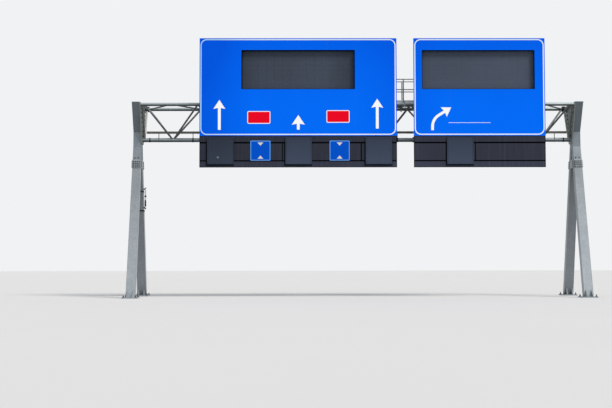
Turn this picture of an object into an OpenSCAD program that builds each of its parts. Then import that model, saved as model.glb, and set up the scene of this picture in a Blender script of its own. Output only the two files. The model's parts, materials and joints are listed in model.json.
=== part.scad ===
// Overhead sign gantry: a triangular tube truss on forked legs, which carries two sign
// panels, a dark backing board with lane signals under each, and a walkway behind them.
// Origin on the ground at the middle of the gantry, +X along the truss, +Z up.
// Traffic comes from -Y, so the signs face -Y.

/* [Truss] */
// Length of one truss bay
bay_len = 2140; // [1900:20:2400]
// Number of bays between the two ends
bay_count = 8; // [8:1:10]
// Distance between the two top chords, centre to centre
truss_w = 1530; // [1450:10:1650]
// Height from the bottom chord's centre to the top chords' centres
truss_h = 1360; // [1250:10:1450]
// Height of the top chords' centres above the ground
top_chord_z = 7740; // [7500:20:7900]
// Diameter of each top chord
top_chord_d = 140; // [120:1:160]
// Diameter of the bottom chord
bottom_chord_d = 168; // [140:1:190]
// Diameter of the diagonals on the two sloping sides
diagonal_d = 76; // [48:1:80]
// Diameter of the zigzag bars between the top chords
brace_d = 60; // [40:1:64]
// Length of chord beyond the last node, up to the end plate
chord_overrun = 160; // [140:5:220]

/* [Truss ends] */
// Thickness of the plate that closes each end of the truss
end_plate_t = 40; // [20:2:60]
// Height of the end plate above the top chords' centres
end_plate_up = 95; // [80:5:110]
// Depth of the end plate below the bottom chord's centre
end_plate_down = 170; // [120:5:220]
// Width of the end plate along its bottom edge
end_plate_foot_w = 560; // [500:10:700]
// Size of the clipped corners of the end plate
end_plate_clip = 50; // [20:5:80]
// Diameter of the struts next to each end plate
end_strut_d = 76; // [60:1:80]
// Distance from the end plate to the struts' centres
end_strut_gap = 70; // [60:5:80]

/* [Legs] */
// Width of a leg along the truss, at the ground
leg_w_base = 365; // [320:5:420]
// Width of a leg along the truss, at its top
leg_w_top = 300; // [260:5:320]
// Depth of each leg across the truss, at the ground
leg_depth_base = 260; // [240:5:320]
// Depth of each leg across the truss, in the neck
leg_depth_neck = 220; // [180:5:260]
// Depth of each fork arm at its top
arm_depth_top = 230; // [180:5:280]
// Distance over the front and rear legs at the ground
foot_spread = 3720; // [3400:20:4000]
// Free gap between the front and rear members in the neck
neck_gap = 50; // [20:5:90]
// Height of the bend where the leaning legs turn upright into the neck
neck_z = 6100; // [6000:10:6200]
// How much lower that bend lies on the members' inner side
inner_neck_drop = 350; // [250:10:450]
// Height of the kink where the neck opens into a fork
kink_z = 6680; // [6450:10:6700]
// How much higher the kink lies on the fork's inner side
inner_kink_rise = 100; // [60:5:140]
// Height of the fork arms' tops, without the cap plates
arm_top_z = 7820; // [7600:10:7900]
// Distance over the front and rear arms at the top
fork_spread = 1760; // [1650:10:1850]
// Thickness of the cap plate on each fork arm
cap_t = 20; // [10:1:30]
// Overhang of the cap plate round each fork arm
cap_lip = 8; // [2:1:20]

/* [Splices] */
// Height of the joint between the legs and the fork arms
splice_z = 5380; // [5200:10:5500]
// Height of the cover plates over that joint
splice_h = 340; // [260:10:420]
// Thickness of the cover plates
splice_t = 20; // [10:1:30]
// Distance from the cover plates' edges to the edges of the faces that they cover
splice_inset = 15; // [5:1:30]

/* [Base plates] */
// Length of a base plate across the truss
base_len = 820; // [700:10:900]
// Width of a base plate along the truss
base_wid = 620; // [560:10:720]
// Thickness of a base plate
base_t = 40; // [25:1:60]
// Diameter of the anchor bolt holes
anchor_d = 42; // [30:1:48]
// Distance from a hole's centre to the plate's edges
anchor_edge = 70; // [55:5:90]
// Height of the stiffening ribs on a base plate
rib_h = 260; // [150:10:350]
// Thickness of those ribs
rib_t = 20; // [10:1:30]
// Distance between the two ribs on one side, centre to centre
rib_pitch = 220; // [160:10:260]

/* [Walkway] */
// Where the walkway starts, left of the gantry's middle
walk_start = 6220; // [6000:20:6280]
// Distance between the walkway's bearers and railing posts
bearer_pitch = 1600; // [1400:20:1600]
// Number of gaps between bearers
bearer_gaps = 8; // [6:1:8]
// Length of the deck beyond the first and last bearer
deck_overhang = 100; // [40:5:150]
// Width of the walking surface
deck_w = 596; // [500:4:700]
// Thickness of the deck
deck_t = 30; // [20:1:40]
// Gap between two deck panels
deck_gap = 10; // [4:1:20]
// Width of a bearer along the truss
bearer_w = 60; // [40:1:80]
// Height of a bearer
bearer_h = 60; // [45:1:80]
// How far a bearer drops over the top chords
bearer_drop = 35; // [20:1:38]
// Thickness of the toe boards
toe_t = 8; // [4:1:12]
// Height of the toe boards
toe_h = 130; // [100:5:180]
// Diameter of the railing posts
rail_post_d = 48; // [38:1:60]
// Diameter of the railing's rails
rail_d = 42; // [30:1:46]
// Height of the top rail's centre above the deck
top_rail_up = 955; // [850:5:1100]
// Height of the middle rail's centre above the deck
mid_rail_up = 535; // [400:5:600]

/* [Sign panels] */
// Distance from the truss's middle plane to the sign faces
sign_offset = 1500; // [1480:5:1520]
// Height of the sign panels' lower edge
sign_z = 6390; // [6380:5:6400]
// Height of the sign panels
sign_h = 3890; // [3800:10:4100]
// Thickness of the sign panels
sign_t = 60; // [40:1:80]
// Left edge of the left sign, measured from the gantry's middle
left_sign_x = -6300; // [-6320:5:-6290]
// Width of the left sign before its display's window
left_sign_before = 1680; // [1650:5:1740]
// Width of the left sign after its display's window
left_sign_after = 1660; // [1620:5:1720]
// Gap between the two signs
sign_gap = 670; // [600:5:700]
// Width of the right sign before its display's window
right_sign_before = 340; // [330:5:380]
// Width of the right sign after its display's window
right_sign_after = 410; // [380:5:450]

/* [Displays] */
// Width of a display's window
display_w = 4470; // [4300:5:4480]
// Height of a display's window
display_h = 1550; // [1400:5:1580]
// Height of the windows' lower edge
display_z = 8250; // [8230:5:8300]
// Depth from the sign face back to the display face
display_recess = 300; // [200:5:340]
// Thickness of the display cabinet's walls
display_wall = 40; // [20:1:44]
// Depth of the display cabinet behind the sign panel
display_depth = 440; // [380:5:480]

/* [Backing boards and signals] */
// Height of the backing board under each sign
board_h = 1250; // [1230:5:1260]
// Thickness of the backing boards
board_t = 40; // [30:1:60]
// Distance from a board's top edge down to its upper groove
upper_groove_down = 270; // [200:5:300]
// Distance from a board's bottom edge up to its lower groove
lower_groove_up = 260; // [240:5:300]
// Width of the boards' grooves
groove_w = 20; // [8:1:30]
// Depth of the boards' grooves
groove_depth = 10; // [4:1:20]
// Distance from the left sign's left edge to the first lane signal's centre
signal_1_in = 830; // [810:5:860]
// How far left of the middle between its neighbours the second lane signal is
signal_2_shift = 40; // [0:5:60]
// Distance from the left sign's right edge to the third lane signal's centre
signal_3_in = 720; // [710:5:740]
// Distance from the right sign's left edge to the fourth lane signal's centre
signal_4_in = 1830; // [1750:5:1900]
// Width of a lane signal's hood
signal_w = 1040; // [1000:5:1050]
// Height of a lane signal's hood
signal_h = 1080; // [1040:5:1090]
// Height of the lane signals' lower edge
signal_z = 5260; // [5255:1:5270]
// How far a hood stands out from its board
signal_proud = 70; // [50:1:75]
// Depth of a lane signal's body behind the board's face
signal_depth = 280; // [200:5:320]
// How far the body is smaller than the hood, on each side
signal_step = 50; // [40:1:80]
// Free gap between a signal's body and its hole in the board
signal_clearance = 5; // [2:1:10]
// Width of the rim round a signal's face
signal_rim = 40; // [20:1:60]
// Depth of a signal's face inside the rim
signal_face_depth = 25; // [10:1:40]
// How far right of the middle between two signals a height plate is
plate_shift = 36; // [0:2:50]
// Width and height of a height plate
plate_size = 800; // [700:5:850]
// Thickness of a height plate
plate_t = 12; // [4:1:20]
// Height of the height plates' lower edge
plate_z = 5405; // [5400:5:5450]

/* [Sign frames] */
// Width of the sign posts along the truss
post_w = 100; // [80:1:110]
// Depth of the sign posts
post_d = 120; // [100:1:140]
// Distance from a sign's side edges to the centres of its outer posts
edge_post_in = 140; // [130:5:150]
// Distance from a signal's centre to the centre of a post beside it
signal_post_gap = 1050; // [1000:10:1080]
// Distance from the panels' upper and lower edges to the posts' ends
post_end_gap = 40; // [30:5:50]
// Height and depth of the rails behind the panels
rail_s = 50; // [40:1:60]
// Distance from a panel's edge or display to the centre of the rail beside it
rail_in = 80; // [70:2:90]
// Height and width of the arms between the posts and the chords
bracket_s = 80; // [60:1:100]
// Width of the saddles on the chords
saddle_w = 100; // [80:1:110]
// Distance that a saddle reaches above and below the chord's side
saddle_lip = 20; // [5:1:25]
// Depth of a saddle in front of the chord
saddle_depth = 65; // [40:1:80]

/* [Cable duct] */
// Width of the cable duct over the bottom chord
duct_w = 140; // [80:5:160]
// Height of the cable duct
duct_h = 80; // [50:5:90]
// Height of the duct's centre above the bottom chord's centre
duct_up = 305; // [280:5:360]
// Distance between the two duct brackets in a bay
duct_pitch = 1390; // [1300:10:1450]
// How far that pair is shifted from the bottom node to the middle
duct_shift = 115; // [80:5:140]
// Width of a duct bracket along the truss
duct_bracket_w = 30; // [20:1:40]
// Thickness of a duct bracket's strap and web
duct_bracket_t = 8; // [4:1:12]

/* [Leg conduit] */
// Diameter of the conduit on the left rear leg
conduit_d = 50; // [30:1:60]
// Free gap between that conduit and the leg
conduit_gap = 50; // [30:1:80]
// Height of the conduit's lower end
conduit_z = 3600; // [3500:10:3700]
// Length of the conduit
conduit_len = 880; // [820:10:950]
// Height of the lower strap round the leg
low_strap_z = 3530; // [3480:10:3560]
// Height of the upper strap round the leg
high_strap_z = 4310; // [4240:10:4340]
// Height of a strap
strap_h = 60; // [30:1:80]
// Thickness of a strap
strap_t = 8; // [4:1:12]

/* [Hidden] */
$fn = 48;

galvanised = "#8f989d";
shaded_steel = "#6f787b";
sign_blue = "#0062f5";
board_grey = "#302e38";
signal_grey = "#3a4452";
display_grey = "#404654";

front = -1;
rear = 1;
left = -1;
right = 1;
eps = 1;

span = bay_len * bay_count;
bottom_chord_z = top_chord_z - truss_h;
end_plate_face_x = span / 2 + chord_overrun;
leg_inner_x = end_plate_face_x + end_plate_t;
leg_mid_x = leg_inner_x + leg_w_base / 2;
end_strut_x = end_plate_face_x - end_strut_gap;
foot_y = foot_spread / 2 - leg_depth_base / 2;
neck_y = leg_depth_neck + neck_gap / 2;
inner_neck_z = neck_z - inner_neck_drop;

bearer_z = top_chord_z + top_chord_d / 2 - bearer_drop;
deck_z = bearer_z + bearer_h;
floor_z = deck_z + deck_t;
walk_len = bearer_pitch * bearer_gaps + 2 * deck_overhang;
rail_y = deck_w / 2 + toe_t + rail_post_d / 2;

sign_back_y = sign_t - sign_offset;
sign_top_z = sign_z + sign_h;
board_z = sign_z - board_h;
board_face_y = sign_back_y - board_t;
rail_back_y = sign_back_y + rail_s;
post_back_y = rail_back_y + post_d;
cabinet_margin = 10;
rail_end_gap = 50;

left_sign_w = left_sign_before + display_w + left_sign_after;
left_sign_end_x = left_sign_x + left_sign_w;
right_sign_x = left_sign_end_x + sign_gap;
right_sign_w = right_sign_before + display_w + right_sign_after;
left_display_x = left_sign_x + left_sign_before;
right_display_x = right_sign_x + right_sign_before;

signal_1_x = left_sign_x + signal_1_in;
signal_3_x = left_sign_end_x - signal_3_in;
signal_2_x = (signal_1_x + signal_3_x) / 2 - signal_2_shift;
signal_4_x = right_sign_x + signal_4_in;

// Fork arms, legs and base plates

// Side outline of one front member, from the ground to the top of its fork arm, with its
// front and rear faces moved out by grow
function member_outline(grow) = [
    [-foot_spread / 2 - grow, 0],
    [-neck_y - grow, neck_z],
    [-neck_y - grow, kink_z],
    [-fork_spread / 2 - grow, arm_top_z],
    [arm_depth_top - fork_spread / 2 + grow, arm_top_z],
    [grow - neck_gap / 2, kink_z + inner_kink_rise],
    [grow - neck_gap / 2, inner_neck_z],
    [leg_depth_base - foot_spread / 2 + grow, 0]
];

// Front outline of the members: the inner face is upright and the outer face tapers
module taper_outline(grow_in, grow_out) {
    polygon([
        [leg_inner_x - grow_in, 0],
        [leg_inner_x + leg_w_base + grow_out, 0],
        [leg_inner_x + leg_w_top + grow_out, arm_top_z],
        [leg_inner_x - grow_in, arm_top_z]
    ]);
}

// One right front member between two heights, optionally grown for plates that wrap it
module member(z0, z1, grow_y = 0, grow_in = 0, grow_out = 0) {
    reach = 2 * end_plate_face_x;
    intersection() {
        rotate([90, 0, 90]) linear_extrude(reach) polygon(member_outline(grow_y));
        translate([0, foot_spread, 0]) rotate([90, 0, 0]) linear_extrude(2 * foot_spread)
            taper_outline(grow_in, grow_out);
        translate([0, -foot_spread, z0]) cube([reach, 2 * foot_spread, z1 - z0]);
    }
}

// Places a right front piece at any of the four corners
module at_corner(side, face) {
    mirror([side == left ? 1 : 0, 0, 0]) mirror([0, face == rear ? 1 : 0, 0]) children();
}

module leg(side, face) {
    color(galvanised) at_corner(side, face) member(base_t, splice_z);
}

module arm(side, face) {
    color(shaded_steel) at_corner(side, face) {
        member(splice_z, arm_top_z);
        translate([leg_inner_x - cap_lip, -fork_spread / 2 - cap_lip, arm_top_z])
            cube([leg_w_top + 2 * cap_lip, arm_depth_top + 2 * cap_lip, cap_t]);
    }
}

// Width of a member at a height, and the distances of its outer and inner faces from the
// truss's middle plane anywhere below the fork
function leg_w_at(z) = leg_w_base + (leg_w_top - leg_w_base) * z / arm_top_z;
function outer_face_y(z) = lookup(z, [[0, foot_spread / 2], [neck_z, neck_y]]);
function inner_face_y(z) = lookup(z, [[0, foot_spread / 2 - leg_depth_base], [inner_neck_z, neck_gap / 2]]);

// Cover plates over the joint: one on the front, one on the rear, and one across both
// members on the inner side and on the outer side
module splice(side) {
    z0 = splice_z - splice_h / 2;
    z1 = splice_z + splice_h / 2;
    outer_x = [leg_inner_x + leg_w_at(z0), leg_inner_x + leg_w_at(z1)];
    color(shaded_steel) mirror([side == left ? 1 : 0, 0, 0]) {
        for (face = [front, rear]) at_corner(right, face) difference() {
            member(z0, z1, splice_t, -splice_inset, -splice_inset);
            member(z0 - eps, z1 + eps);
            translate([0, -neck_y, 0]) cube([2 * leg_mid_x, foot_spread, arm_top_z]);
        }
        splice_side_plate(z0, z1, [leg_inner_x - splice_t, leg_inner_x - splice_t]);
        splice_side_plate(z0, z1, outer_x);
    }
}

// A plate over both members' sides, with its near face at x[0] below and x[1] above
module splice_side_plate(z0, z1, x) {
    half_low = outer_face_y(z0) - splice_inset;
    half_high = outer_face_y(z1) - splice_inset;
    intersection() {
        translate([0, half_low, 0]) rotate([90, 0, 0]) linear_extrude(2 * half_low)
            polygon([[x[0], z0], [x[0] + splice_t, z0], [x[1] + splice_t, z1], [x[1], z1]]);
        rotate([90, 0, 90]) linear_extrude(2 * leg_mid_x)
            polygon([[-half_low, z0], [half_low, z0], [half_high, z1], [-half_high, z1]]);
    }
}

// A base plate with four anchor holes and ribs against the leg's leaning faces
module base(side, face) {
    hole_x = base_wid / 2 - anchor_edge;
    hole_y = base_len / 2 - anchor_edge;
    color(galvanised) at_corner(side, face) translate([leg_mid_x, 0, 0]) {
        translate([0, -foot_y, 0]) difference() {
            translate([-base_wid / 2, -base_len / 2, 0]) cube([base_wid, base_len, base_t]);
            for (x = [-hole_x, hole_x], y = [-hole_y, hole_y])
                translate([x, y, -eps]) cylinder(h = base_t + 2 * eps, d = anchor_d);
        }
        for (x = [-rib_pitch / 2, rib_pitch / 2]) translate([x - rib_t / 2, 0, 0]) {
            rib(foot_y + base_len / 2, outer_face_y(base_t), outer_face_y(base_t + rib_h), rib_t);
            rib(foot_y - base_len / 2, inner_face_y(base_t), inner_face_y(base_t + rib_h), -rib_t);
        }
    }
}

// A rib that leans against a leg and runs out to a base plate's edge. All places are
// distances from the truss's middle plane: the edge, and the leg's face below and above
module rib(edge, low_face, high_face, top_run) {
    z0 = base_t;
    z1 = base_t + rib_h;
    rotate([90, 0, 90]) linear_extrude(rib_t) polygon([
        [-low_face, z0], [-edge, z0], [-edge, z0 + rib_t], [-high_face - top_run, z1], [-high_face, z1]
    ]);
}

// Truss

function top_node(i, face) = [i * bay_len - span / 2, face * truss_w / 2, top_chord_z];
function bottom_node(i) = [(i + 0.5) * bay_len - span / 2, 0, bottom_chord_z];
function top_middle(i, face) = top_node(i + 0.5, face);

// A round bar from point p to point q
module bar(p, q, d) {
    run = q - p;
    translate(p) rotate([0, acos(run[2] / norm(run)), atan2(run[1], run[0])])
        cylinder(h = norm(run), d = d);
}

module chord(y, z, d, length) {
    translate([-length / 2, y, z]) rotate([0, 90, 0]) cylinder(h = length, d = d);
}

module top_chord(face, length = 2 * end_plate_face_x) {
    chord(face * truss_w / 2, top_chord_z, top_chord_d, length);
}

module lower_chord(length = 2 * end_plate_face_x) {
    chord(0, bottom_chord_z, bottom_chord_d, length);
}

// Bars between pairs of points, their ends shaped to the chords that they meet
module coped_bars(pairs, d) {
    color(shaded_steel) for (pair = pairs) difference() {
        bar(pair[0], pair[1], d);
        top_chord(front);
        top_chord(rear);
        lower_chord();
    }
}

module side_diagonals(face) {
    coped_bars(
        [for (i = [0 : bay_count - 1], end = [0, 1]) [top_node(i + end, face), bottom_node(i)]],
        diagonal_d
    );
}

// Zigzag from the rear chord's nodes to the front chord's mid-bays
module zigzag() {
    coped_bars(
        [for (i = [0 : bay_count - 1], end = [0, 1]) [top_node(i + end, rear), top_middle(i, front)]],
        brace_d
    );
}

module struts() {
    coped_bars([
        for (side = [left, right], face = [front, rear]) let (x = side * end_strut_x)
            [[x, face * truss_w / 2, top_chord_z], [x, 0, bottom_chord_z]]
    ], end_strut_d);
}

// Four-sided plate between the truss and the fork arms, with clipped corners
module end_plate(side) {
    top = top_chord_z + end_plate_up;
    low = bottom_chord_z - end_plate_down;
    half_top = fork_spread / 2;
    half_low = end_plate_foot_w / 2;
    edge = [half_top - half_low, top - low];
    clip = end_plate_clip * edge / norm(edge);
    rear_half = [
        [half_low - end_plate_clip, low], [half_low, low] + clip,
        [half_top, top] - clip, [half_top - end_plate_clip, top]
    ];
    front_half = [for (i = [len(rear_half) - 1 : -1 : 0]) [-rear_half[i][0], rear_half[i][1]]];
    color(shaded_steel) translate([side == right ? end_plate_face_x : -leg_inner_x, 0, 0])
        rotate([90, 0, 90]) linear_extrude(end_plate_t) polygon(concat(rear_half, front_half));
}

// Walkway

function bearer_x(i) = deck_overhang - walk_start + i * bearer_pitch;

// Bearers across both top chords, cut out over the tubes that they rest on
module bearers() {
    color(shaded_steel) difference() {
        for (i = [0 : bearer_gaps])
            translate([bearer_x(i) - bearer_w / 2, -truss_w / 2, bearer_z])
                cube([bearer_w, truss_w, bearer_h]);
        top_chord(front);
        top_chord(rear);
    }
}

// One grating panel between each two bearers, with a gap over the bearer, and the first and
// last panel run on to the ends of the walkway
module deck() {
    color(galvanised) for (i = [0 : bearer_gaps - 1]) {
        x0 = i == 0 ? -walk_start : bearer_x(i) + deck_gap / 2;
        x1 = i == bearer_gaps - 1 ? walk_len - walk_start : bearer_x(i + 1) - deck_gap / 2;
        translate([x0, -deck_w / 2, deck_z]) cube([x1 - x0, deck_w, deck_t]);
    }
}

module toes() {
    color(galvanised) for (y = [-deck_w / 2 - toe_t, deck_w / 2])
        translate([-walk_start, y, deck_z]) cube([walk_len, toe_t, toe_h]);
}

module railing(face) {
    color(galvanised) translate([0, face * rail_y, 0]) {
        for (i = [0 : bearer_gaps])
            translate([bearer_x(i), 0, deck_z]) cylinder(h = deck_t + top_rail_up, d = rail_post_d);
        for (up = [mid_rail_up, top_rail_up])
            translate([-walk_start, 0, floor_z + up]) rotate([0, 90, 0]) cylinder(h = walk_len, d = rail_d);
    }
}

// Signs, displays and signals

module sign(x, w, window_x) {
    color(sign_blue) difference() {
        translate([x, -sign_offset, sign_z]) cube([w, sign_t, sign_h]);
        translate([window_x, -sign_offset - eps, display_z]) cube([display_w, sign_t + 2 * eps, display_h]);
    }
}

// Cabinet behind a sign's window, open to the front, its inner back face is the display
module display(window_x) {
    wall = display_wall;
    color(display_grey) difference() {
        translate([window_x - wall, sign_back_y, display_z - wall])
            cube([display_w + 2 * wall, display_depth, display_h + 2 * wall]);
        translate([window_x, -sign_offset, display_z]) cube([display_w, display_recess, display_h]);
    }
}

module board(x, w, signals) {
    color(board_grey) difference() {
        translate([x, board_face_y, board_z]) cube([w, board_t, board_h]);
        for (z = [board_z + lower_groove_up, sign_z - upper_groove_down])
            translate([x - eps, board_face_y - eps, z - groove_w / 2])
                cube([w + 2 * eps, groove_depth + eps, groove_w]);
        for (signal_x = signals) translate([signal_x, board_face_y - eps, 0])
            signal_block(signal_step - signal_clearance, board_t + 2 * eps);
    }
}

module left_board() {
    board(left_sign_x, left_sign_w, [signal_1_x, signal_2_x, signal_3_x]);
}

// A block as large as a signal's hood less a margin on each side
module signal_block(margin, depth) {
    translate([margin - signal_w / 2, 0, signal_z + margin])
        cube([signal_w - 2 * margin, depth, signal_h - 2 * margin]);
}

module lane_signal(x) {
    color(signal_grey) translate([x, board_face_y, 0]) {
        difference() {
            translate([0, -signal_proud, 0]) signal_block(0, signal_proud);
            translate([0, -signal_proud - eps, 0]) signal_block(signal_rim, signal_face_depth + eps);
        }
        signal_block(signal_step, signal_depth);
    }
}

module plates() {
    color(sign_blue) for (pair = [[signal_1_x, signal_2_x], [signal_2_x, signal_3_x]])
        translate([(pair[0] + pair[1] - plate_size) / 2 + plate_shift, board_face_y - plate_t, plate_z])
            cube([plate_size, plate_t, plate_size]);
}

// Sign frames

// The posts stand clear of the signals' bodies. The fifth is midway between the left
// display's cabinet and the third signal's body
left_post_xs = [
    left_sign_x + edge_post_in,
    left_display_x - display_wall - cabinet_margin - post_w / 2,
    signal_2_x - signal_post_gap,
    signal_2_x + signal_post_gap,
    (left_display_x + display_w + display_wall + signal_3_x - signal_w / 2 + signal_step) / 2,
    left_sign_end_x - edge_post_in
];
right_post_xs = [
    right_sign_x + edge_post_in,
    signal_4_x + signal_post_gap,
    right_sign_x + right_sign_w - edge_post_in
];

// Posts stop under the display cabinet where they stand behind it
module sign_posts(xs, window_x) {
    low = board_z + post_end_gap;
    color(shaded_steel) for (x = xs) {
        behind = x > window_x - display_wall && x < window_x + display_w + display_wall;
        top = behind ? display_z - display_wall - cabinet_margin : sign_top_z - post_end_gap;
        translate([x - post_w / 2, rail_back_y, low]) cube([post_w, post_d, top - low]);
    }
}

// Rails behind one sign and its board: near the board's lower edge, near the sign's lower
// edge, under the display, midway between those two, and midway above the display
module rails(x, w) {
    low = sign_z + rail_in;
    under_display = display_z - display_wall - rail_in;
    above_display = (display_z + display_h + display_wall + sign_top_z) / 2;
    color(shaded_steel)
        for (z = [board_z + rail_in, low, (low + under_display) / 2, under_display, above_display])
            translate([x + rail_end_gap, sign_back_y, z - rail_s / 2])
                cube([w - 2 * rail_end_gap, rail_s, rail_s]);
}

// One arm from the posts' rear faces to a chord, with a saddle shaped to the chord
module bracket(x, chord_y, z, d) {
    half_saddle = d / 2 + saddle_lip;
    translate([x - bracket_s / 2, post_back_y, z - bracket_s / 2])
        cube([bracket_s, chord_y - post_back_y, bracket_s]);
    translate([x - saddle_w / 2, chord_y - d / 2 - saddle_depth, z - half_saddle])
        cube([saddle_w, d / 2 + saddle_depth, 2 * half_saddle]);
}

module brackets() {
    color(shaded_steel) difference() {
        for (x = concat(left_post_xs, right_post_xs)) {
            bracket(x, -truss_w / 2, top_chord_z, top_chord_d);
            bracket(x, 0, bottom_chord_z, bottom_chord_d);
        }
        top_chord(front);
        lower_chord();
    }
}

// Cable duct and conduit

function sign_of(v) = v < 0 ? -1 : v > 0 ? 1 : 0;

module duct() {
    duct_z = bottom_chord_z + duct_up;
    color(shaded_steel) {
        translate([-span / 2, -duct_w / 2, duct_z - duct_h / 2]) cube([span, duct_w, duct_h]);
        difference() {
            for (i = [0 : bay_count - 1], end = [-1, 1]) {
                node_x = bottom_node(i)[0];
                x = node_x - sign_of(node_x) * duct_shift + end * duct_pitch / 2;
                translate([x - duct_bracket_w / 2, -duct_bracket_t / 2, bottom_chord_z])
                    cube([duct_bracket_w, duct_bracket_t, duct_up - duct_h / 2]);
                translate([x, 0, 0])
                    chord(0, bottom_chord_z, bottom_chord_d + 2 * duct_bracket_t, duct_bracket_w);
            }
            lower_chord();
        }
    }
}

// Straps round the left rear leg, and a conduit on two stand-offs beside it
module conduit() {
    mid_z = conduit_z + conduit_len / 2;
    leg_mid_y = (outer_face_y(mid_z) + inner_face_y(mid_z)) / 2;
    color(shaded_steel) at_corner(left, rear) {
        for (z = [low_strap_z, high_strap_z]) difference() {
            member(z - strap_h / 2, z + strap_h / 2, strap_t, strap_t, strap_t);
            member(z - strap_h, z + strap_h);
        }
        translate([leg_inner_x - conduit_gap - conduit_d / 2, -leg_mid_y, conduit_z]) {
            cylinder(h = conduit_len, d = conduit_d);
            for (z = [strap_h, conduit_len - strap_h])
                translate([0, -strap_t, z - strap_h / 2])
                    cube([conduit_d / 2 + conduit_gap, 2 * strap_t, strap_h]);
        }
    }
}

leg(left, front);  // left_front_leg
leg(left, rear);  // left_rear_leg
leg(right, front);  // right_front_leg
leg(right, rear);  // right_rear_leg
arm(left, front);  // left_front_arm
arm(left, rear);  // left_rear_arm
arm(right, front);  // right_front_arm
arm(right, rear);  // right_rear_arm
splice(left);  // left_splice
splice(right);  // right_splice
base(left, front);  // left_front_base
base(left, rear);  // left_rear_base
base(right, front);  // right_front_base
base(right, rear);  // right_rear_base
end_plate(left);  // left_end_plate
end_plate(right);  // right_end_plate
struts();  // end_struts
color(galvanised) top_chord(front);  // top_front_chord
color(galvanised) top_chord(rear);  // top_rear_chord
color(galvanised) lower_chord();  // bottom_chord
side_diagonals(front);  // front_diagonals
side_diagonals(rear);  // rear_diagonals
zigzag();  // top_bracing
bearers();  // walkway_bearers
deck();  // walkway_deck
toes();  // toe_boards
railing(front);  // front_railing
railing(rear);  // rear_railing
sign(left_sign_x, left_sign_w, left_display_x);  // left_sign
sign(right_sign_x, right_sign_w, right_display_x);  // right_sign
display(left_display_x);  // left_display
display(right_display_x);  // right_display
left_board();
board(right_sign_x, right_sign_w, [signal_4_x]);  // right_board
lane_signal(signal_1_x);  // signal_1
lane_signal(signal_2_x);  // signal_2
lane_signal(signal_3_x);  // signal_3
lane_signal(signal_4_x);  // signal_4
plates();  // height_plates
sign_posts(left_post_xs, left_display_x);  // left_sign_posts
sign_posts(right_post_xs, right_display_x);  // right_sign_posts
union() {  // sign_rails
    rails(left_sign_x, left_sign_w);
    rails(right_sign_x, right_sign_w);
}
brackets();  // sign_brackets
duct();  // cable_duct
conduit();  // leg_conduit
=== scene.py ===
"""Finishes, welds, fasteners, films and lamps of the overhead sign gantry, built on its CAD frame.

Everything is in metres and in the frame's own axes: +X along the truss, -Y towards the traffic
that reads the signs, +Z up, with the origin on the ground under the middle of the truss.
"""

import fnmatch
import json
import logging
import math
from collections.abc import Mapping, Sequence
from dataclasses import dataclass, field
from enum import Enum
from itertools import product
from pathlib import Path
from typing import Any

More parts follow.
